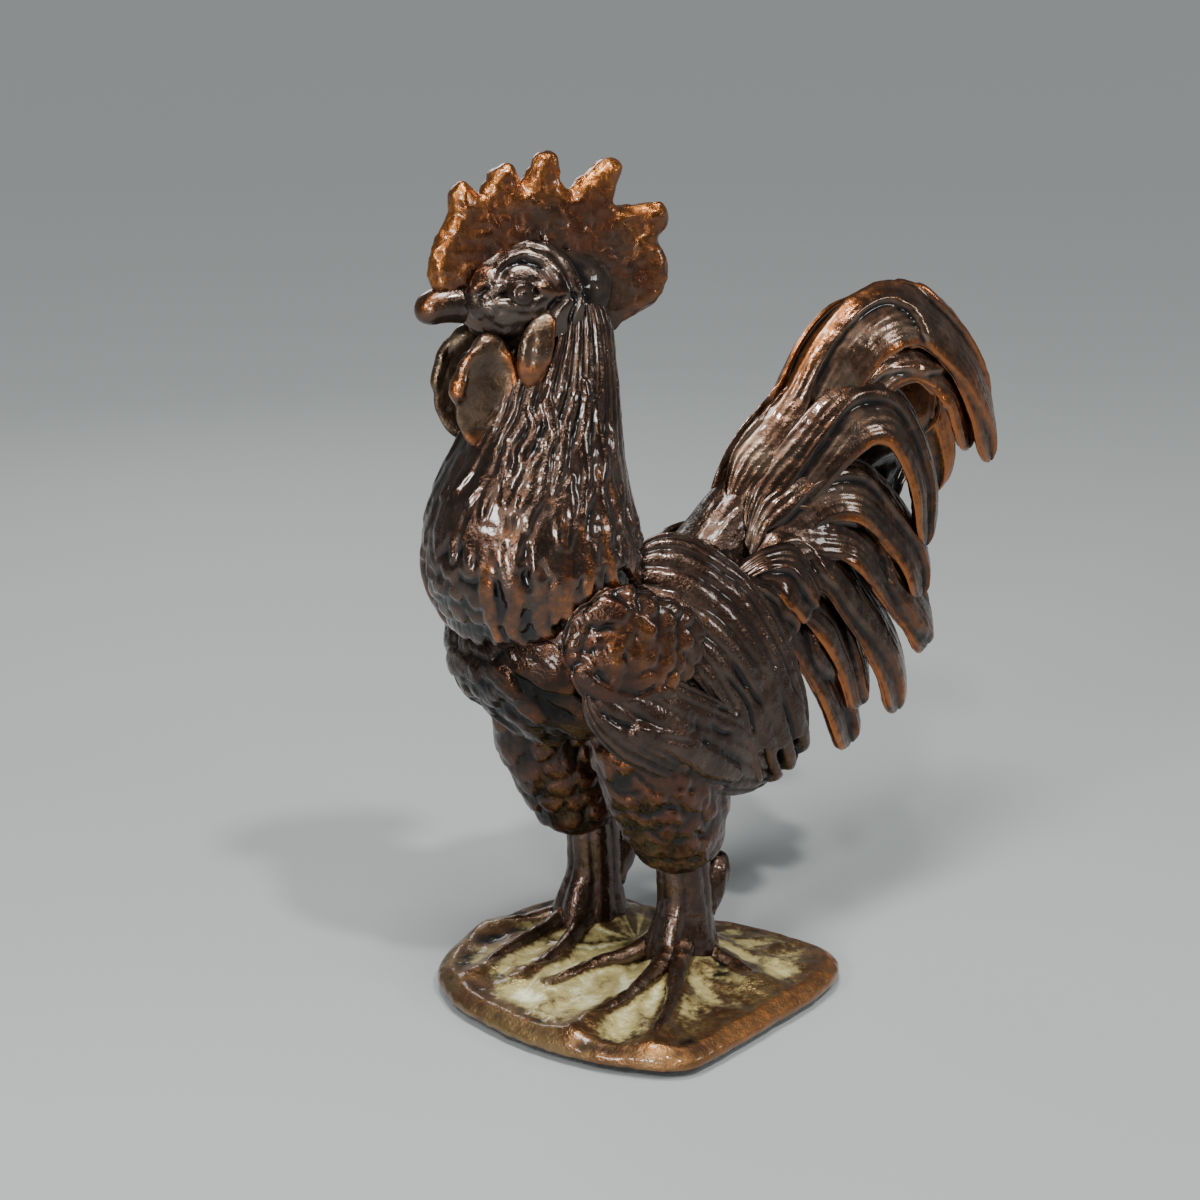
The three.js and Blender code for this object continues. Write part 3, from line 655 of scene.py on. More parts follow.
def strands(skin, count, height, sway=0.01, drift=0.0, plump=4.0, weight=1.0, seed=1):
    """Lengthwise strands all round a form: height * (1 - |2f - 1|^plump), where f is the way
    across one strand. Slow noise sways them, and threads three times as fine lie on their backs."""
    along, turns = skin.shares()
    long_noise = skin.points * (1, 1, 0.45)
    bend = sway * (noise(long_noise, 5, seed) + 0.45 * noise(long_noise, 2.1, seed + 1))
    bend = bend + drift * along
    f = (count * (turns + bend)) % 1
    thread = (3.3 * count * (turns + 1.2 * bend)) % 1
    back = (1 - np.abs(2 * f - 1) ** plump) * (1 + 0.35 * noise(long_noise, 2.8, seed + 2))
    fine = 0.22 * (1 - (2 * thread - 1) ** 2) * (1 - np.abs(2 * f - 1) ** 2)
    skin.height += height * weight * (back + fine)


print("feather tools ready")

# %% [markdown]
# ## Traces and shares
# A trace is a list of the photograph's pixels. It becomes a smooth path on the skin that is seen
# there, and most paths are repeated on the far side, reflected in the figure's midplane. Spines
# and half sizes are shares of a member's own size, so that a member can be resized by one number.

# %% Traces and pairs
BODY_PLANE = (np.zeros(3), np.array([0.0, 1.0, 0.0]))


def traced(skin, trace, steps=14):
    """A smooth path of points and normals on the skin along pixels of the photograph."""
    points, normals = skin.under(spline(trace, np.linspace(0, 1, steps)))
    for part in (points, normals):
        part[1:-1] = (part[:-2] + 2 * part[1:-1] + part[2:]) / 4
    return points, normals


def paths(skin, traces, steps=14, plane=None):
    """The path of every trace, each followed by its reflection if there is a plane."""
    for trace in traces:
        points, normals = traced(skin, trace, steps)
        yield points, normals
        if plane:
            yield reflected(points, plane), reflected(normals, (0, plane[1]))


def placed(origin, size, shares):
    """Points given as shares of a member's size, from its own origin."""
    return np.array(origin, float) + np.array(shares, float) * np.array(size, float)


def sized(size, shares, less=0.0):
    """Half sizes as shares, less what the relief adds."""
    return np.array(shares, float) * size - less


def pair(node, skin, finish, plane=BODY_PLANE, **how):
    """The left member, and the right one as its reflection."""
    member(node + "_left", skin, finish, **how)
    member(node + "_right", skin, finish, mirror=plane, **how)


print("traces run through a lens of", round(FOCAL), "pixels")

# %% [markdown]
# ## The trunk
# The body is an egg from breast to rump. Its feathers are short scales that lie towards the
# tail. Most of it is hidden by the wings, the cape and the thighs. Only the folds of the breast
# are traced from the photograph.

# %% Body
BODY_AT = np.array([-1.0, 0.0, 37.47])
BODY_SIZE = np.array([38.0, 23.0, 21.0])
BREAST_FOLDS = (
    [(516, 668), (535, 672), (552, 680), (570, 686)],
    [(530, 648), (548, 655), (562, 668), (572, 672)],
    [(556, 700), (574, 704), (590, 716), (604, 728)], [(548, 724), (566, 722), (584, 732)],
    [(500, 690), (520, 700), (540, 716)], [(520, 722), (536, 736), (556, 748)],
    [(484, 668), (500, 676), (514, 690)])
body_spine = placed(BODY_AT, BODY_SIZE, [
    (-.38, 0, .21), (-.29, 0, .13), (-.12, 0, .01), (.105, 0, -.03), (.29, 0, .03), (.43, 0, .15),
    (.525, 0, .26)])
body = sweep(body_spine, sized(11.5, [.42, .77, .96, .98, .8, .55, .3]),
             sized(10.5, [.45, .72, .84, .74, .66, .58, .42]),
             sized(10.5, [.38, .68, .92, .9, .8, .6, .4]), face=(0, 0, 1), ends=(.12, .15),
             cell=0.22)
coat(body, np.arange(0.0, 0.95, 0.062), 0.062, (0, 1), 24, 3.0, shape=ROUND, jitter=0.25, sway=0.01,
     seed=3, crown=0.1, rise=(0, 0.5), steep=2.5, plump=4, rub=0.2, groove=0.08)
for path in paths(body, BREAST_FOLDS, plane=BODY_PLANE):
    lay(body, path, [1.4, 2.3, 2.6, 1.5], 0.25, (0.4, 0.9), rub=0.6, groove=0.08, tip=0.3)
member("body", body, "breast")
print("body grid", body.points.shape)

# %% [markdown]
# ## Neck and cape
# Long hackle feathers hang from the nape over the breast and shoulders. High up they are fine
# wavy strands. Lower down they gather to thick ropes, which rubbing has turned orange, over rows
# of round scales. The bright strands and the ropes are traced from the photograph.

# %% Neck
NECK_FOOT, NECK_SIZE = (-8.6, 0, 41.88), (30, 0, 30)
SCALE_ROWS, LONG_ROWS = (0.46, 0.41, 0.36, 0.31, 0.26, 0.21, 0.17, 0.13, 0.09), (0.58, 0.54, 0.5)
SILVER_STRANDS = (
    [(551, 385), (547, 401), (552, 421), (554, 436), (548, 452)],
    [(573, 396), (574, 409), (567, 423), (565, 444), (561, 469), (553, 492)],
    [(528, 409), (533, 425), (531, 437), (522, 453), (522, 466), (514, 482), (506, 504)],
    [(541, 444), (544, 450), (534, 463), (531, 479), (528, 495), (522, 508)],
    [(550, 455), (546, 463), (544, 479), (541, 495), (536, 508)],
    [(571, 479), (569, 492), (571, 504), (570, 517)],
    [(506, 441), (507, 452), (502, 469), (506, 482), (502, 504)],
    [(585, 380), (588, 410), (584, 440), (588, 470), (584, 500)],
    [(597, 400), (600, 430), (606, 460), (602, 490), (607, 520)],
    [(612, 430), (616, 460), (622, 490), (620, 520), (624, 550)])
ROPES = (
    [(500, 500), (491, 522), (488, 555), (487, 590), (492, 620), (500, 640)],
    [(524, 525), (515, 545), (512, 580), (516, 606), (510, 630), (527, 644)],
    [(538, 560), (541, 585), (543, 605), (538, 620), (548, 634), (566, 640)],
    [(562, 515), (566, 545), (568, 575), (566, 600), (569, 622)],
    [(556, 548), (561, 575), (556, 600), (556, 620)],
    [(580, 520), (584, 548), (589, 570), (588, 592)],
    [(598, 470), (605, 520), (610, 560), (615, 587)],
    [(606, 460), (620, 520), (628, 560), (637, 581)])
neck_spine = placed(NECK_FOOT, NECK_SIZE, [
    (.02, 0, -.11), (-.005, 0, .02), (-.013, 0, .17), (-.003, 0, .32), (.033, 0, .49),
    (.073, 0, .65), (.107, 0, .83), (.12, 0, .96), (.12, 0, 1.05)])
neck = sweep(neck_spine, sized(10.2, [.56, .87, 1, .93, .79, .66, .56, .5, .44], 0.1),
             sized(11.3, [.44, .81, .98, .94, .8, .67, .52, .36, .2], 0.1),
             sized(11.3, [.7, .98, 1, .94, .79, .64, .5, .4, .32], 0.1), face=(-1, 0, 0),
             ends=(.1, .06), cell=0.185)
along, turns = neck.shares()
strands(neck, 30, 0.4, sway=0.016, drift=0.02, seed=61,
        weight=ease(along, 0.28, 0.4) * (1 - ease(along, 0.84, 0.97)))
coat(neck, SCALE_ROWS, -0.06, (0, 1), 25, 2.7, shape=ROUND, jitter=0.25, sway=0.006, seed=4,
     crown=0.12, rise=(0, 0.6), steep=2, plump=4, rub=0.25, groove=0.08)
coat(neck, LONG_ROWS, -0.16, (0, 1), 27, 2.0, jitter=0.3, sway=0.008, waves=1.6, seed=5,
     crown=0.25, rise=(0.1, 0.7), rub=0.25, groove=0.1)
for path in paths(neck, SILVER_STRANDS, 22, BODY_PLANE):
    lay(neck, path, [0.6, 1.1, 1.3, 1.1, 0.6], 0.3, (0.35, 0.5))
for path in paths(neck, ROPES, 20, BODY_PLANE):
    lay(neck, path, [0.8, 1.5, 1.75, 1.6, 1.0], 0.35, (0.25, 0.6), rub=0.85, groove=0.08, tip=0.15)
member("neck_hackle", neck, "hackle")
print("neck grid", neck.points.shape)

# %% [markdown]
# ## Thighs
# Rows of broad scales run down each drumstick. On the near one, soft folds are added between
# creases that are traced from the photograph.

# %% Thighs
CREASES = (
    [(594, 756), (606, 779), (620, 793), (636, 794), (650, 786)],
    [(624, 765), (636, 774), (652, 788), (663, 791), (675, 788)],
    [(629, 809), (643, 816), (656, 813), (661, 804)], [(661, 806), (675, 809), (689, 816)],
    [(636, 829), (652, 832), (663, 839), (675, 839)],
    [(601, 754), (617, 760), (636, 754), (652, 748)], [(590, 740), (606, 747), (620, 742)],
    [(629, 845), (652, 857), (679, 859), (707, 855)], [(707, 790), (702, 812), (707, 830)],
    [(676, 780), (690, 790), (700, 788)], [(600, 790), (612, 806), (624, 812)],
    [(690, 826), (700, 836), (712, 838)], [(610, 820), (622, 832), (636, 842)])
HIP, THIGH_SIZE, RIGHT_LEAN = (5.6, -6.4, 14.8), (15.4, 11, 17), 1.6
thigh_spine = placed(HIP, THIGH_SIZE, [
    (-.37, 0, 1.13), (-.31, -.14, .78), (-.17, -.12, .36), (-.02, -.02, -.09)])


def thigh_skin(lean):
    """The drumstick, shifted forward by `lean` at the hock, with shallow folds all round."""
    spine = thigh_spine - np.linspace(0, 1, 4)[:, None] * (lean, 0, 0)
    skin = sweep(spine, sized(7.7, [.75, 1, .84, .48]), sized(5.5, [1, 1.05, .97, .7]),
                 ends=(.15, .13), cell=0.19)
    coat(skin, np.arange(0.0, 0.85, 0.09), 0.08, (0, 1), 13, 3.0, shape=ROUND, jitter=0.35,
         sway=0.01, seed=8, crown=0.1, rise=(0, 0.32), steep=2, rub=0.3, groove=0.05)
    skin.height += 0.1 * noise(skin.points, 2.4, 38)
    return skin


left_thigh = thigh_skin(0)
for path in paths(left_thigh, CREASES, 20):
    raise_up(left_thigh, (path[0] - (0, 0, 0.9), path[1]), 2.0, 0.25, rub=0.5, ends=0.3)
    carve(left_thigh, path, 0.4, 0.35, patina_and_shade=0.3, ends=0.4)
member("thigh_left", left_thigh, "russet")
member("thigh_right", thigh_skin(RIGHT_LEAN), "russet", mirror=BODY_PLANE)
print("thighs done")

# %% [markdown]
# ## Wings and saddle
# The wing lies folded on the flank: pebbled shoulder coverts above, and flight feathers below.
# Saddle hackles drape over its rear end. Both sides carry the same relief, reflected. The middle
# of the coverts' outer face is rubbed, and their edge sinks to the body.

# %% Wings
SHOULDER, WING_SIZE = (-13.16, -11.5, 41.88), (28, -2.6, 12)
PEBBLES = (
    [(622, 626), (638, 622), (648, 630)], [(600, 642), (610, 640), (616, 650)],
    [(624, 640), (632, 646), (636, 656)], [(642, 642), (652, 646), (650, 658)],
    [(600, 656), (606, 664), (616, 662)], [(620, 664), (630, 668), (640, 664)],
    [(646, 664), (656, 668), (658, 676)], [(660, 644), (668, 652), (668, 664)],
    [(610, 676), (622, 684), (636, 686), (646, 680)], [(654, 682), (662, 686), (672, 682)])
SHOULDER_ROLL = [(581, 675), (594, 692), (613, 705), (633, 708), (650, 698)]
SHOULDER_CAP = [(592, 616), (604, 610), (618, 612)]
BOSS = [(661, 690), (666, 693), (670, 696)]
FACE_TURN, FACE_REACH, EDGE_DROP = 0.25, 0.16, 0.4
bow = sweep(placed(SHOULDER, WING_SIZE, [(.02, -.9, 0), (.21, -.1, -.13), (.43, .1, -.33),
                                         (.61, -.15, -.55)]),
            sized(6, [.5, .95, .85, .45]), sized(2.6, [.5, .68, .64, .4], 0.5),
            sized(2.6, [.9, 1.2, 1.2, .9]), ends=(.2, .2), cell=0.16)
coat(bow, np.arange(0.0, 0.95, 0.12), 0.09, (-0.1, 0.6), 9, 2.3, shape=ROUND, jitter=0.3, seed=9,
     crown=0.2, rise=(0, 0.4), steep=2, rub=0.4, tip=0.2)
for path in paths(bow, PEBBLES, 8):
    lay(bow, path, [1.4, 2.1, 1.8], 0.25, (0.2, 0.55), rub=0.6, tip=0.2, steep=2)
lay(bow, traced(bow, SHOULDER_CAP), [1.8, 2.8, 2.2], 0.3, (0.5, 0.6))
lay(bow, traced(bow, SHOULDER_ROLL), [1.8, 3.0, 3.2, 2.2], 0.35, (0.5, 0.6), rub=0.1)
lay(bow, traced(bow, BOSS, 4), [1.5, 1.5], 0.4, (0.7, 0.7), rub=0.3)
along, turns = bow.shares()
inner = ease(along, 0.1, 0.35) * (1 - ease(along, 0.7, 0.95))
inner = inner * bell(turns - FACE_TURN, FACE_REACH)
bow.rub *= inner
bow.height -= EDGE_DROP * (1 - inner) * ease(bow.normals @ (0, -1, 0), -0.2, 0.2)
pair("wing_bow", bow, "rubbed", slot="bronze_worn")
print("bow grid", bow.points.shape)

# %% [markdown]
# The flight feathers are folded under the bow: a panel with fine cross cuts, one long roll below
# it, and slits between them, all traced from the photograph.

# %% Flight feathers
WING_PANEL = [(650, 708), (662, 720), (680, 727), (700, 722)]
WING_ROLL = [(638, 732), (663, 742), (689, 751), (712, 763), (734, 774)]
WING_SLITS = (
    [(714, 705), (728, 710), (740, 717)], [(707, 719), (721, 731), (740, 735)],
    [(698, 740), (703, 743), (709, 745)], [(652, 732), (676, 740), (698, 742)],
    [(574, 682), (590, 705), (613, 721), (629, 724), (638, 737), (663, 751), (689, 765),
     (716, 777)])
HATCHES = [[(656 + 7 * k, 706 + k), (654 + 7 * k, 714 + k), (655 + 7 * k, 721 + 1.6 * k)]
           for k in range(7)]
flights = sweep(placed(SHOULDER, WING_SIZE, [(.09, -.4, -.375), (.32, .27, -.79), (.64, .42, -1.21),
                                             (.96, .1, -1.58)]),
                sized(6, [.5, .8, .77, .4]), sized(1.3, [.6, .9, .9, .6]),
                sized(2.6, [.9, 1.2, 1.2, .9]), ends=(.15, .15), cell=0.17)
strands(flights, 15, 0.22, sway=0.006, seed=65)
raise_up(flights, traced(flights, WING_PANEL), 4.4, 0.3, rub=0.25, ends=0.3)
lay(flights, traced(flights, WING_ROLL), [1.6, 2.8, 3.0, 2.8, 1.6], 0.4, (0.4, 0.5))
for path in paths(flights, WING_SLITS, 20):
    carve(flights, path, 0.4, 0.4, patina_and_shade=0.4, ends=0.35)
for path in paths(flights, HATCHES, 5):
    carve(flights, path, 0.3, 0.12)
pair("wing_flights", flights, "dark")
print("flights grid", flights.points.shape)

# %% [markdown]
# The saddle hackle is one curved sheet of streaks. Its lower edge is cut into separate tips.

# %% Saddle
SADDLE_AT, SADDLE_SIZE = (-1, 0, 45.03), (26, 23, 26)
SADDLE_GROOVES = (
    [(716, 662), (732, 682), (749, 704), (754, 747)],
    [(730, 652), (751, 689), (762, 707), (764, 721)])
SADDLE_TIPS = (
    [(740, 700), (750, 740), (758, 768), (764, 786)],
    [(750, 690), (764, 730), (772, 760), (776, 781)],
    [(764, 680), (778, 716), (786, 750), (790, 780)],
    [(776, 670), (792, 700), (802, 730), (807, 764)])
SADDLE_NOTCHES = ([(761, 750), (766, 770), (770, 790)], [(778, 750), (784, 768), (788, 788)],
                  [(796, 740), (803, 756), (808, 772)])
saddle = sweep(placed(SADDLE_AT, SADDLE_SIZE, [
    (-.02, -.19, -.06), (.17, -.36, -.1), (.37, -.48, -.33), (.51, -.52, -.6), (.58, -.53, -.85)]),
    sized(6.5, [.7, 1, 1, .9, .65]), sized(1.2, [.6, .9, .9, .9, .7]),
    sized(2.4, [.6, 1.2, 1.2, 1, .8]), face=(0, -1, .3), ends=(.15, .1), cell=0.17)
strands(saddle, 17, 0.4, sway=0.014, drift=-0.03, plump=3, seed=66)
for path in paths(saddle, SADDLE_TIPS):
    lay(saddle, path, [0.9, 1.8, 2.2, 1.6], 0.3, (0.15, 0.7), rub=0.3, groove=0.06)
for path in paths(saddle, SADDLE_GROOVES):
    carve(saddle, path, 0.6, 0.5, patina_and_shade=0.5, ends=0.35)
for path in paths(saddle, SADDLE_NOTCHES, 8):
    carve(saddle, path, 0.9, 1.2, patina_and_shade=0.5, ends=0.05)
pair("saddle", saddle, "dark")
print("saddle grid", saddle.points.shape)

# %% [markdown]
# ## Legs and plaque
# The toes run over the plaque like roots over a stone, and the shanks flare into them. The right
# leg is drawn on the left side too and then reflected. Each toe has its name, its bearing in
# degrees from straight ahead, its length as a share of the common one, and its sideways bow as a
# share of its own length.

# %% Legs
SHANK_SIZE, SPUR_SIZE, TOE_LENGTH = (7, 5.6, 12), (7, 0, 7), 21
ABOVE_ANKLE = (1.8, 0, 4.1)
TOE_PARTS, TOE_HEIGHTS = np.array([.02, .12, .3, .6, .96]), np.array([3.4, 1.9, .65, .2, .05])
ANKLES = {"left": np.array([5.6, -6.4, 2.8]), "right": np.array([4.0, -6.4, 2.8])}
TOES = {
    "left": (("middle", 17, 1.02, .05), ("outer", 40, 1.03, .03), ("inner", -10, .78, -.08),
             ("hind", 96, .5, .1)),
    "right": (("middle", -9, .88, .06), ("inner", -24, .82, -.05), ("outer", 27, .56, .05),
              ("hind", 150, .36, 0)),
}


def toe_spine(ankle, bearing, share, bow):
    """From inside the shank out and down to the plaque, with a parabolic sideways bow."""
    angle, part = math.radians(bearing), TOE_PARTS
    ahead = np.array([-math.cos(angle), -math.sin(angle)])
    flat = part[:, None] * ahead + (4 * bow * part * (1 - part))[:, None] * (-ahead[1], ahead[0])
    return np.column_stack([ankle[:2] + share * TOE_LENGTH * flat, ankle[2] + TOE_HEIGHTS])


toe_lines = []
for side, ankle in ANKLES.items():
    plane = BODY_PLANE if side == "right" else None
    shank = sweep(placed(ankle, SHANK_SIZE, [(0, 0, -.16), (0, 0, .05), (.04, 0, .43),
                                             (.01, 0, .85), (-.03, 0, 1.2)]),
                  sized(3.5, [1.1, 1.22, .87, .86, .7]), sized(2.8, [1.1, 1.3, .98, .96, .72]),
                  ends=(.08, .1), cell=0.18)
    strands(shank, 7, 0.22, sway=0.02, plump=3, seed=67)
    for _, bearing, _, _ in TOES[side]:
        raise_up(shank, shank.at(np.linspace(0.6, 0.06, 12), bearing / 360), 2.2, 0.5, ends=0.3)
    member("shank_" + side, shank, "dark", mirror=plane)
    spur = sweep(placed(ankle + ABOVE_ANKLE, SPUR_SIZE, [(0, 0, 0), (.3, 0, .42), (.55, 0, .85)]),
                 *[sized(1.7, [1.2, 1.1, .85])] * 2, ends=(.1, .3), cell=0.17)
    spur.height += 0.25 * np.abs(noise(spur.points * (1, 1, 0.4), 1.4, 30))
    member("spur_" + side, spur, "dark", mirror=plane)
    for toe, *way in TOES[side]:
        spine = toe_spine(ankle, *way)
        skin = sweep(spine, sized(1.3, [1.6, 1.15, .72, .6, .5]), sized(1.6, [1, .9, .72, .6, .45]),
                     face=(0, 0, 1), ends=(.1, .12), cell=0.15)
        skin.height += 0.15 * noise(skin.points, 2.0, 31) + 0.08 * noise(skin.points, 0.8, 32)
        skin.rub += 0.5 * ease(skin.normals[..., 2], 0.6, 1)
        member("toe_%s_%s" % (side, toe), skin, "toe", mirror=plane)
        line = spline(spine, np.linspace(0, 1, 24))
        toe_lines.append(reflected(line, plane) if plane else line)
print("toes:", len(toe_lines))

# %% [markdown]
# A plate of a free outline, such as the plaque or the comb, is a skin too. Its rows run from the
# middle of one face out to the rim and back in on the other face. The thickness at a point
# depends only on its true distance to the outline, so the edge is round everywhere.

# %% Plates
CURVE_STEPS = 4000


def closed_curve(points, count):
    """A smooth closed curve through the points, as `count` points evenly spaced on it."""
    looped = np.array(points[-3:] + points + points[:3], float)
    n = len(looped) - 1
    fine = spline(looped, np.linspace(3 / n, (3 + len(points)) / n, CURVE_STEPS))
    length = np.concatenate([[0], np.cumsum(np.linalg.norm(np.diff(fine, axis=0), axis=1))])
    even = np.linspace(0, length[-1], count, endpoint=False)
    return np.stack([np.interp(even, length, fine[:, k]) for k in range(2)], -1)


def rim_distance(points, outline):
    """The distance from each flat point to the nearest point of the outline."""
    flat = points.reshape(-1, 2)
    best = np.full(len(flat), np.inf)
    for part in np.array_split(outline, 12):
        gaps = np.linalg.norm(flat[:, None] - part[None], axis=2)
        best = np.minimum(best, gaps.min(1))
    return best.reshape(points.shape[:2])


def plate(outline, centre, half, edge, rows):
    """Flat positions, signed half thicknesses and shares of the edge: the outline is shrunk towards
    the centre, and the half thickness is half * sqrt(1 - (1 - share)^2), where the share is the
    distance to the outline over `edge`, up to 1."""
    u = np.sin(np.linspace(0.03, 1, rows) * math.pi / 2)
    share = np.concatenate([u, u[-2::-1]])[:, None, None]
    flat = np.array(centre) + share * (outline - centre)
    near = np.clip(rim_distance(flat, outline) / edge, 0, 1)
    near[rows - 1] = 0
    sign = np.where(np.arange(len(flat)) < rows, 1, -1)[:, None]
    return flat, sign * half * np.sqrt(1 - (1 - near) ** 2), near


def plate_skin(points, near):
    """The skin of a plate, turned round if needed so that it faces outward."""
    skin = Skin(points)
    if (skin.normals * (points - points.mean((0, 1)))).sum(-1).mean() > 0:
        return skin, near
    return Skin(points[:, ::-1]), near[:, ::-1]


print("plates ready")

# %% [markdown]
# The plaque rises a little around every toe, and its surface is streaked outward from between the
# feet. Verdigris stays on the open ground between the toes, and the rim is rubbed orange. The rub
# grows towards the side that faces the key sun, so part of that orange is painted light, and the
# plaque's underside is darkened as painted shade.

# %% Plaque
PLAQUE_RIM = [
    (.45, -.37), (.32, -.42), (.1, -.46), (-.09, -.49), (-.25, -.5), (-.36, -.4), (-.45, -.23),
    (-.495, -.01), (-.485, .2), (-.41, .35), (-.24, .46), (-.05, .5), (.12, .48), (.29, .34),
    (.37, .155), (.45, .02), (.5, -.12), (.52, -.29)]
PLAQUE_AT, PLAQUE_SIZE, PLAQUE_HALF, PLAQUE_EDGE = (0, -4.5), (36.6, 38.2), 1.3, 2.2
BETWEEN_FEET, PALEST = (4, -1), (-7, -7)
RIM_POINTS, RIM_STEP, PLAQUE_ROWS = 540, 6, 84
rim = closed_curve(PLAQUE_RIM, RIM_POINTS) * PLAQUE_SIZE + PLAQUE_AT
flat, thick, near = plate(rim, PLAQUE_AT, PLAQUE_HALF, PLAQUE_EDGE, PLAQUE_ROWS)
bed, near = plate_skin(np.dstack([flat, PLAQUE_HALF + thick]), near)
top = ease(bed.normals[..., 2], 0.3, 0.9)
ground = bed.points[..., :2]
toe_gap = np.min([rim_distance(ground, line[4:, :2]) for line in toe_lines], axis=0)
skirt = 0.85 * bell(toe_gap, 1.9)
for foot in (ANKLES["left"], ANKLES["right"] * (1, -1, 1)):
    gap = np.linalg.norm(ground - foot[:2], axis=-1)
    skirt = np.maximum(skirt, 2.3 * bell(gap, 4.6))
outward = ground - BETWEEN_FEET
spoke = np.arctan2(outward[..., 1], outward[..., 0])
reach = np.linalg.norm(outward, axis=-1)
streaks = np.dstack([9 * np.cos(spoke), 9 * np.sin(spoke), 0.28 * reach])
ripple = 1 - np.abs(noise(streaks + 0.5 * noise(bed.points, 4, 13)[..., None], 1.6, 11))
lip = bell(near * PLAQUE_EDGE - 1.5, 0.45)
relief = 0.45 * ripple ** 2 + 0.12 * noise(bed.points, 1.0, 12) - 0.2
inland = rim_distance(ground, rim[::RIM_STEP])
relief = relief * ease(inland, 0.5, 4) * (1 - bell(reach, 6))
bed.height += top * (skirt + relief + 0.12 * lip)
# Painted light: the rim's rub, which is wear, grows towards the side that faces the key sun.
sunny = ease(bed.points[..., 0] - bed.points[..., 1], -6, 24)
bed.rub += 0.9 * (1 - ease(near, 0.4, 1)) * (0.1 + 0.85 * sunny) + 0.3 * lip * top
# Painted shade: faces of the plaque that turn downward are darkened.
bed.patina_and_shade += 0.6 * (bed.normals[..., 2] < -0.3)
open_ground = ease(inland + noise(bed.points, 2.5, 16), 1.2, 4.5) * ease(toe_gap, 0.6, 1.5) * top
pale = bell(np.linalg.norm((ground - PALEST) * (1, 0.8), axis=-1), 7.5)
streak = noise(streaks + 0.4 * noise(bed.points, 3, 14)[..., None], 1.1, 15)
bed.moss += open_ground * (0.38 + 0.45 * pale + 0.35 * streak * (1 - 0.5 * pale)
                           + 0.5 * (0.6 - ripple))
bed.patina_and_shade += top * (1 - open_ground) * 0.25
member("base_plaque", bed, "ground", slot="bronze_ground", settle=0)
print("plaque grid", bed.points.shape)

# %% [markdown]
# ## The head
# Head, beak, comb, wattles and ear lobes are drawn looking straight ahead and then turned
# together by 18 degrees, as the rooster looks a little aside. Each fold of the face has its
# trace, its widths, crown and rise as `lay` takes them, and its rub.

# %% Head
HEAD_AT, HEAD_SIZE = np.array([-5.0, 0.0, 72.18]), (-15, -9.6, 10.4)
TURN = math.radians(-18)
TURNED = np.array([[math.cos(TURN), math.sin(TURN), 0], [-math.sin(TURN), math.cos(TURN), 0],
                   [0, 0, 1]])
HEAD_PLANE = (HEAD_AT, np.array([0.0, 1.0, 0.0]) @ TURNED)
BROW_GAP = [(487, 292), (494, 286), (500, 277), (507, 270), (522, 264), (536, 268), (547, 276),
            (557, 285)]
FACE_FOLDS = (
    ([(478, 283), (492, 263), (508, 250), (525, 247), (543, 249), (558, 260), (568, 272),
      (576, 288)], [1.0, 1.5, 1.6, 1.3], 0.35, 0.75, 0.0),
    ([(492, 284), (499, 271), (508, 262), (522, 257), (536, 258), (548, 266), (558, 279),
      (564, 291)], [1.0, 1.4, 1.4, 1.1], 0.4, 1.0, 0.15),
    ([(477, 288), (483, 281), (489, 275)], [1.3, 1.8, 1.5], 0.5, 0.9, 0.9),
    ([(489, 298), (498, 287), (511, 279), (525, 275), (538, 279), (549, 285), (558, 291)],
     [0.8, 1.8, 2.3, 2.0, 1.0], 0.35, 0.7, 0.0),
    ([(491, 303), (503, 302), (513, 303), (524, 304), (536, 302), (547, 297), (557, 292)],
     [0.7, 1.2, 1.5, 1.2, 0.7], 0.4, 0.6, 0.05),
    ([(537, 289), (545, 289), (552, 291), (558, 293)], [0.7, 1.1, 1.2, 0.8], 0.5, 0.85, 0.8),
    ([(486, 297), (487, 303), (491, 310)], [1.0, 1.5, 1.2], 0.45, 0.5, 0.0),
    ([(488, 309), (498, 313), (508, 316), (522, 315), (540, 308)], [1.4, 2.4, 2.4, 1.4], 0.25, 0.35,
     0.0),
    ([(467, 319), (479, 323), (491, 327), (502, 332)], [1.6, 2.3, 2.2, 1.2], 0.1, 0.3, 1.0),
    ([(466, 296), (472, 302), (479, 311)], [1.4, 2.0, 1.6], 0.3, 0.4, 0.1),
    ([(503, 333), (512, 330), (522, 327)], [1.0, 1.6, 1.2], 0.25, 0.3, 0.0),
    ([(568, 301), (560, 312), (557, 325), (558, 345), (566, 358), (578, 368)], [1.0, 2.2, 2.8, 1.8],
     0.35, 0.9, 0.0),
    ([(580, 300), (576, 320), (578, 342), (586, 362)], [0.9, 1.7, 1.8, 1.2], 0.3, 0.7, 0.0))
EYE_PAD = [(490, 309), (508, 308), (530, 306), (552, 302)]
FOLD_SHARE = 0.8


def headed(points):
    """Points of the straight head, turned about the upright axis and set on the neck."""
    return np.asarray(points, float) @ TURNED + HEAD_AT


def head_sweep(spine, wide, up, down=None, face=(0, 0, 1), **how):
    """A sweep drawn on the straight head."""
    return sweep(headed(spine), wide, up, down, np.array(face, float) @ TURNED, **how)


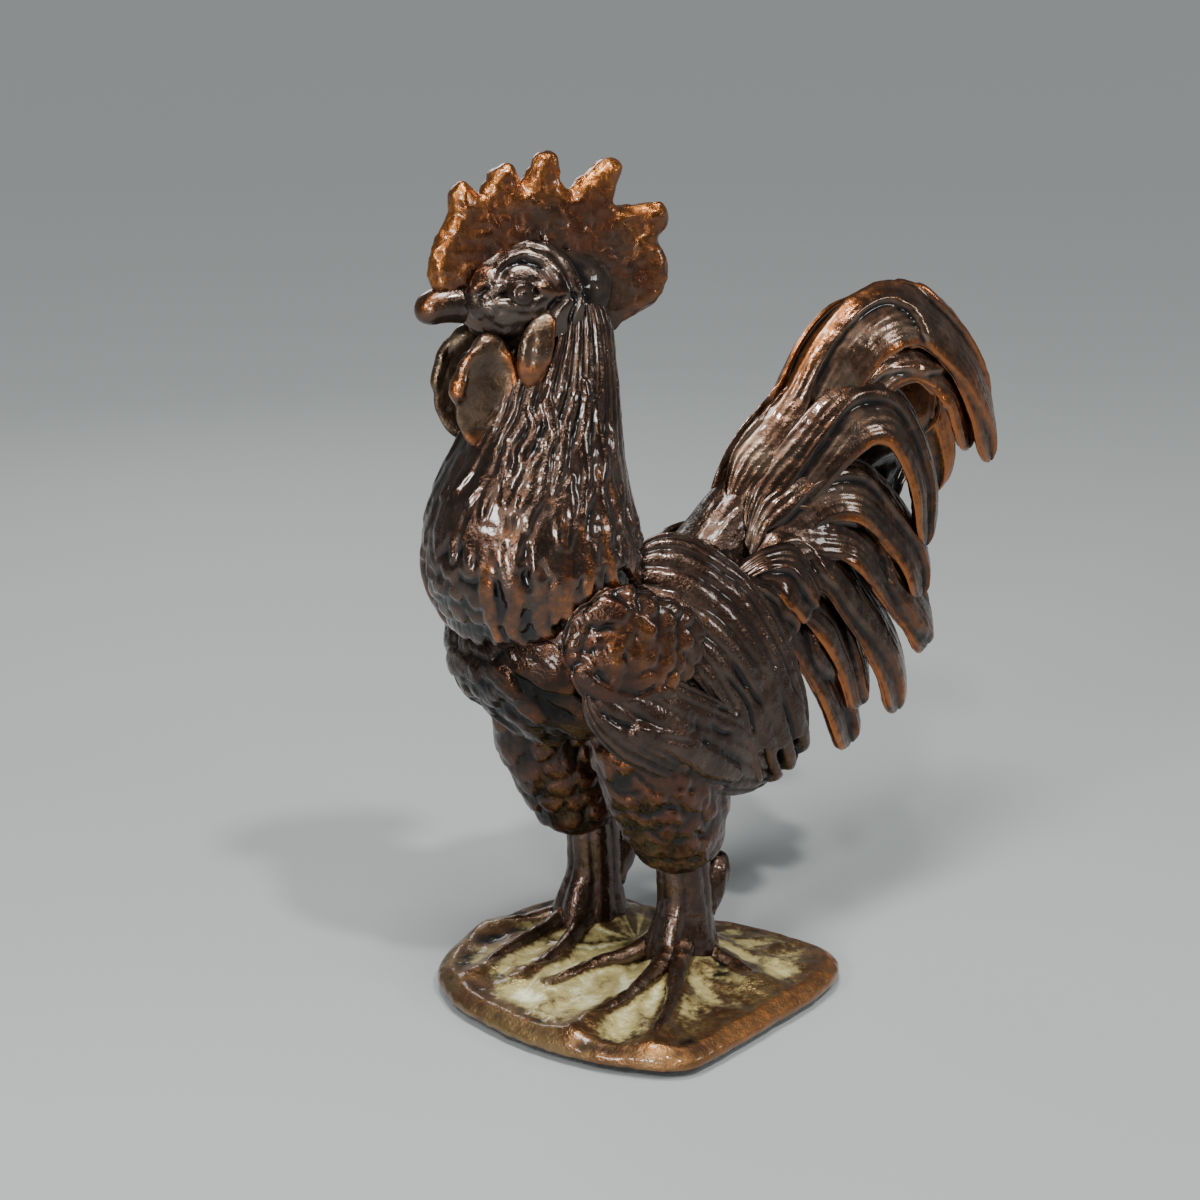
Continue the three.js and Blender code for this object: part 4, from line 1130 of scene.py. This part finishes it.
head = head_sweep(placed((0, 0, 0), HEAD_SIZE, [
    (-.3, 0, -.12), (-.1, 0, 0), (.22, 0, .04), (.5, 0, 0), (.7, 0, -.08)]),
    sized(4.8, [.55, .92, 1, .82, .5], 0.15), sized(5.2, [.55, .92, .98, .72, .42], 0.15),
    sized(5.2, [.55, 1, 1.1, .95, .55], 0.15), cell=0.11)
for trace, width, crown, rise, rub in FACE_FOLDS:
    for path in paths(head, [trace], 22, HEAD_PLANE):
        lay(head, path, width, FOLD_SHARE * crown, (0.75 * rise, 0.8 * rise), rub=0.6 * rub, tip=0)
for path in paths(head, [EYE_PAD], 12, HEAD_PLANE):
    raise_up(head, path, 2.4, 0.25, ends=0.3)
for path in paths(head, [BROW_GAP], 20, HEAD_PLANE):
    carve(head, path, 0.4, 0.4, patina_and_shade=0.4, ends=0.4)
head.height += 0.08 * noise(head.points, 1.0, 37)
nape = ((head.points - HEAD_AT) @ TURNED.T)[..., 0]
head.patina_and_shade += 0.6 * ease(nape, -2.5, 0.5)
member("head", head, "head", settle=0.5, soften=2)
print("head grid", head.points.shape)

# %% [markdown]
# The eye is a ball between its lids, with a raised ring and a pupil. The beak is rubbed towards
# its tip, and the jaw below it is painted black as the shade inside the open mouth.

# %% Eyes and beak
EYE_AT = np.array([-5.65, -3.95, 1.15])
PUPIL_AT = EYE_AT + (-0.2, -1.3, 0.1)
BEAK_AT, JAW_AT, BEAK_SIZE = (-7, 0, -.4), (-7.5, 0, -4.89), (-7.2, 0, 7.2)
ball = head_sweep([EYE_AT + (0, -1.45, 0), EYE_AT, EYE_AT + (0, 1.3, 0)], [1.6] * 3, [1.45] * 3,
                  ends=(.5, .5), cell=0.08)
offset = (ball.points - headed(PUPIL_AT)) @ TURNED.T
away = np.hypot(offset[..., 0], offset[..., 2])
front = ((ball.points - headed(EYE_AT)) @ HEAD_PLANE[1]) < 0
ball.height += front * (0.14 * bell(away - 0.85, 0.2) + 0.15 * bell(away, 0.3))
ball.patina_and_shade += front * 0.3 * bell(away - 0.5, 0.2)
pair("eye", ball, "head", plane=HEAD_PLANE, local=5, casting=0.02, settle=0)

beak = head_sweep(placed(BEAK_AT, BEAK_SIZE, [(0, 0, 0), (.35, 0, .05), (.75, 0, .04),
                                              (1.07, 0, -.09)]),
                  sized(1.85, [1.35, 1.12, .95, .74]), sized(1.85, [1.2, 1.05, .93, .74]),
                  ends=(.1, .2), cell=0.12)
out = np.linalg.norm(beak.points - headed(BEAK_AT), axis=-1)
bridge = ease(beak.normals[..., 2], 0.2, 0.9) * (1 - ease(out, 5, 7))
beak.rub += 0.85 * ease(out, 3, 8) - 0.4 * bridge
member("beak_upper", beak, "head", slot="bronze_worn", casting=0.01)
jaw = head_sweep(placed(JAW_AT, BEAK_SIZE, [(-.2, 0, .1), (.15, 0, 0), (.42, 0, -.12)]),
                 sized(1.75, [.9, .8, .5]), sized(.875, [1, .9, .6]), ends=(.1, .25), cell=0.16)
# Painted shade: the jaw is made black, for the shadow inside the open mouth.
jaw.patina_and_shade += 1.0
member("beak_lower", jaw, "dark")
print("beak grid", beak.points.shape)

# %% [markdown]
# Wattles and ear lobes are flat drops. Their outer faces are dished between raised rims, and
# their lower ends are rubbed. The wattles' inner faces, towards the head, are darkened as painted
# shade.

# %% Wattles and lobes
WATTLE_AT, WATTLE_SIZE = (-8.4, -2.69, -2.81), (-11, -11, 11)
LOBE_AT, LOBE_SIZE = (-3, -4.5, -.4), (-8, -8, 8)
WATTLE_RIMS = (
    ([(477, 343), (474, 353), (466, 364), (459, 375), (455, 390), (455, 408)], 1.0, 0.6, 0.2),
    ([(500, 344), (507, 356), (513, 368), (516, 384), (515, 400), (507, 418)], 1.1, 0.6, 0.9))
WATTLE_LUMP = [(464, 370), (459, 382), (458, 396), (461, 408)]
LOBE_GROOVE = [(537, 330), (533, 345), (531, 360), (530, 372)]
LOBE_RIM = [(553, 312), (552, 330), (550, 350), (545, 370)]


def wattle_skin():
    """A hanging lobe with a dished outer face, a raised rim along both its sides, and an inner face
    darkened as painted shade.
    """
    skin = head_sweep(placed(WATTLE_AT, WATTLE_SIZE, [
        (0, 0, 0.03), (.02, .05, -.27), (.05, .06, -.63), (.09, .04, -.99)]),
        sized(3.2, [.4, .8, .98, .8]), sized(1.2, [.9, 1, 1, .9]), face=(0, -1, 0), ends=(.1, .32),
        cell=0.12)
    along, turns = skin.shares()
    outer = np.sin(2 * np.pi * turns)
    skin.push(-1.0 * np.abs(outer) ** 1.5 * ease(along, 0.12, 0.4) * ease(1 - along, 0.04, 0.25))
    skin.height += 0.12 * noise(skin.points, 1.3, 43)
    for trace, width, height, rub in WATTLE_RIMS:
        raise_up(skin, traced(skin, trace, 16), width, height, rub, ends=0.2)
    skin.rub += (0.35 + 0.9 * ease(along, 0.75, 0.92)) * (outer > 0)
    # Painted shade: the inner face, turned towards the head, is darkened.
    skin.patina_and_shade += 0.25 * (outer < 0)
    return skin


near_wattle = wattle_skin()
raise_up(near_wattle, traced(near_wattle, WATTLE_LUMP, 10), 1.7, 0.4, 0.9, ends=0.4)
member("wattle_left", near_wattle, "wattle", slot="bronze_worn")
member("wattle_right", wattle_skin(), "wattle", slot="bronze_worn", mirror=HEAD_PLANE)

lobe = head_sweep(placed(LOBE_AT, LOBE_SIZE, [(0, 0, 0), (.2, .08, -.42), (.27, .04, -.92)]),
                  sized(1.7, [.5, 1, .72]), sized(.85, [.8, 1.1, .9]), face=(0, -1, 0),
                  ends=(.2, .3), cell=0.11)
carve(lobe, traced(lobe, LOBE_GROOVE, 12), 0.9, 0.3, ends=0.3)
raise_up(lobe, traced(lobe, LOBE_RIM, 12), 0.9, 0.35, 0.7, ends=0.2)
lobe.rub += 1.2 * ease(lobe.shares()[0], 0.5, 0.75)
pair("ear_lobe", lobe, "wattle", plane=HEAD_PLANE, slot="bronze_worn")
print("wattle grid", near_wattle.points.shape, "lobe grid", lobe.points.shape)

# %% [markdown]
# The comb is a thick plate of a free outline. Its points and rim are rubbed to orange, and its
# foot above the brow stays dark.

# %% Comb
COMB_RIM = [
    (.48, -.145), (.504, .165), (.458, .38), (.42, .52), (.417, .67), (.363, .765), (.3, .665),
    (.267, .765), (.225, .89), (.167, .9), (.125, .73), (.083, .87), (.046, .99), (-.013, .98),
    (-.038, .76), (-.07, .67), (-.15, .8), (-.24, .935), (-.3, .87), (-.275, .67), (-.275, .53),
    (-.375, .51), (-.47, .53), (-.505, .4), (-.463, .22), (-.505, .035), (-.505, -.145),
    (-.45, -.345), (-.34, -.455), (-.26, -.58), (-.18, -.5), (-.175, -.18), (-.05, .02), (.16, 0),
    (.325, -.18)]
COMB_AT, COMB_SIZE, COMB_HALF, COMB_EDGE = (-1.2, 2.808), (-24, 11), 1.3, 1.5
COMB_CENTRE, CROWN = (-1.2, 2.2), (-1.2, 0, 1)
COMB_POINTS, COMB_ROWS = 640, 72
rim = closed_curve(COMB_RIM, COMB_POINTS) * COMB_SIZE + COMB_AT
flat, thick, near = plate(rim, COMB_CENTRE, COMB_HALF, COMB_EDGE, COMB_ROWS)
comb, near = plate_skin(headed(np.dstack([flat[..., 0], -thick, flat[..., 1]])), near)
away = np.linalg.norm((comb.points - headed(CROWN)) * (1, 1, 1.15), axis=-1)
comb.rub += 0.6 * ease(away, 7.0, 11.0) + 0.55 * (1 - near) * ease(away, 4, 8)
comb.patina_and_shade += 0.4 * (1 - ease(away, 4.0, 9.0))
comb.height += 0.1 * noise(comb.points, 0.7, 21) + 0.16 * noise(comb.points, 1.7, 22)
comb.height -= 0.15 * ease(noise(comb.points, 1.1, 23), 0.35, 0.8)
member("comb", comb, "comb", slot="bronze_worn")
print("comb grid", comb.points.shape)

# %% [markdown]
# ## The tail
# Eight feathers and two coverts a side spring from one root and arch over. The core fills the
# space between the roots, and darkens towards its rear, deep between the feathers, as painted
# shade.

# %% Tail core
TAIL_ROOT, TAIL_SIZE = (14.01, 0, 41.99), (40, 18, 27)
core = sweep(placed(TAIL_ROOT, TAIL_SIZE, [(-.15, 0, -.055), (0, 0, 0), (.2, 0, .11), (.4, 0, .2),
                                           (.6, 0, .29), (.76, 0, .3)]),
             sized(9, [.55, .45, .38, .34, .26, .14]), sized(27, [.11, .19, .31, .41, .33, .2]),
             sized(27, [.15, .19, .37, .5, .46, .3]), face=(0, 0, 1), ends=(.15, .15), cell=0.4)
coat(core, (0, 0.1, 0.2, 0.3, 0.45, 0.6), 0.3, (0, 1), 30, 1.6, crown=0.35, rise=(0, 0.5), seed=14)
# Painted shade: the core darkens towards its rear, where it lies deep between the feathers.
core.patina_and_shade += 0.7 * ease(core.shares()[0], 0.3, 0.5)
member("tail_core", core, "dark")
print("core grid", core.points.shape)

# %% [markdown]
# Each feather is a band with a few ridges that run its whole length, and with a rubbed lower
# edge. The ridges follow the skin's own grid: a sawtooth across the band, whose phase wanders
# slowly along it. The spines are shares of the tail's size, from the shared root. The right sickle
# hangs lower than the left one, as the photograph shows.

# %% Tail feathers
FEATHERS = {
    "tail_covert_upper": [(-.06, -.36, -.01), (.04, -.43, .04), (.125, -.465, -.015),
                          (.19, -.485, -.15)],
    "tail_covert_lower": [(-.11, -.41, .015), (-.025, -.485, -.03), (.045, -.52, -.12),
                          (.0875, -.54, -.215)],
    "tail_feather_1": [(.03, -.09, .19), (.16, -.11, .39), (.33, -.13, .59), (.43, -.15, .78),
                       (.54, -.17, .89), (.69, -.18, .9), (.85, -.21, .73), (.95, -.23, .5),
                       (1, -.24, .24)],
    "tail_feather_2": [(.04, -.14, .15), (.18, -.17, .3), (.33, -.17, .46), (.45, -.17, .63),
                       (.55, -.18, .74), (.68, -.19, .76), (.8, -.21, .65), (.875, -.21, .49),
                       (.915, -.22, .31)],
    "tail_feather_3": [(.05, -.18, .11), (.18, -.21, .27), (.3, -.24, .44), (.43, -.26, .55),
                       (.55, -.28, .53), (.64, -.29, .38), (.69, -.31, .18), (.7, -.32, -.04)],
    "tail_feather_4": [(.05, -.22, .09), (.17, -.26, .21), (.29, -.28, .28), (.41, -.32, .26),
                       (.51, -.33, .16), (.59, -.35, .03), (.645, -.36, -.1), (.66, -.37, -.24)],
    "tail_feather_5": [(.05, -.26, .06), (.16, -.28, .14), (.275, -.32, .155), (.375, -.35, .1),
                       (.475, -.38, -.03), (.565, -.39, -.185), (.64, -.4, -.32),
                       (.68, -.405, -.445)],
    "tail_feather_6": [(.04, -.29, .03), (.175, -.33, .065), (.29, -.37, 0), (.375, -.4, -.15),
                       (.45, -.42, -.3), (.52, -.44, -.49), (.55, -.445, -.68)],
    "tail_feather_7": [(.04, -.32, -.015), (.175, -.37, -.055), (.275, -.405, -.2),
                       (.34, -.43, -.35), (.375, -.45, -.48), (.39, -.455, -.61)],
    "tail_feather_8": [(.01, -.355, -.06), (.125, -.405, -.155), (.21, -.445, -.31),
                       (.275, -.47, -.485), (.31, -.49, -.61), (.34, -.5, -.74)],
}
RIGHT_SICKLE_DROP = 5.5
CREST_RUB, USUAL_CREST = {"tail_feather_1": 0.9, "tail_feather_2": 0.5}, 0.15
COVERT_START, FEATHER_START = (0.3, 0.6), (0.45,)
FIRST_SEED = 40
FEATHER_HALF, FEATHER_THICK, FEATHER_LESS, FEATHER_TILT = 3.8, 0.9, 0.15, 24
BANDS, BARBS = 1.3, 8


def feather(spine, seed, start, crest):
    """A tilted band. Across it runs a sawtooth: the height grows as f over each of the bands, then
    drops, so every band overlaps the next one below. Its phase wanders slowly along the feather.
    Fine barbs, a sine across, lie over it, and the drop of each band is darkened as painted shade.
    `start` are the first shares of the full width, and `crest` is how much the upper edge is
    rubbed."""
    count = len(spine)
    wide = list(start) + [1] * (count - len(start) - 1) + [0.8]
    skin = sweep(spine, sized(FEATHER_HALF, wide, FEATHER_LESS),
                 sized(FEATHER_THICK, [1] * count, FEATHER_LESS),
                 tilt=FEATHER_TILT, ends=(.12, .08), cell=0.17, stretch=2.1)
    along, turns = skin.shares()
    b = np.cos(2 * np.pi * turns)
    side = np.sign(np.sin(2 * np.pi * turns))
    draw = np.random.default_rng(seed)
    wander = curve(draw.normal(size=7) * 0.3 * (count / 9) ** 1.5, along[:, 0])[:, None]
    width = (1 - b) / 2
    f = (BANDS * (width + 0.06 * np.sin(7 * width + 6 * draw.random())) + wander + 0.3 * side) % 1
    shown = ease(along, 0, 0.12)
    skin.height += (0.6 * f * (1 - ease(f, 0.86, 1.0)) + 0.08 * f) * shown
    barbs = np.sin(2 * np.pi * (BARBS * width + 1.5 * wander) + 3 * noise(skin.points, 4, seed))
    skin.height += 0.035 * barbs * (1 + noise(skin.points, 3, seed + 1)) * shown
    skin.rub += (0.95 * ease(-b, 0.7, 0.97) * ease(along, 0.2, 0.5) + 0.35 * ease(along, 0.5, 0.9)
                 + crest * (ease(b, 0.5, 0.95) * ease(along, 0.15, 0.35)
                            + 0.5 * ease(along, 0.6, 0.9))
                 + 0.15 * ease(f, 0.5, 0.8) * (1 - ease(f, 0.85, 0.95)))
    # Painted shade: the drop under each band's overhang is darkened.
    skin.patina_and_shade += 0.2 * ease(f, 0.88, 0.98) * shown
    return skin


for number, (name, shares) in enumerate(FEATHERS.items()):
    spine = placed(TAIL_ROOT, TAIL_SIZE, shares)
    for side, plane in (("left", None), ("right", BODY_PLANE)):
        drop = RIGHT_SICKLE_DROP if (side, name) == ("right", "tail_feather_1") else 0
        lowered = spine - np.linspace(0, 1, len(spine))[:, None] ** 2 * (0, 0, drop)
        start = COVERT_START if "covert" in name else FEATHER_START
        finish = "sickle_sheen" if name in CREST_RUB else "tail"
        skin = feather(lowered, FIRST_SEED + number, start, CREST_RUB.get(name, USUAL_CREST))
        member(name + "_" + side, skin, finish, mirror=plane, soften=0, local=6)
print("feather grid", skin.points.shape)

# %% [markdown]
# ## Finish
# The number of pieces and of their triangles is printed.

# %% Size and finish
print("pieces:", len(made), "triangles:", sum(count for _, count in made))
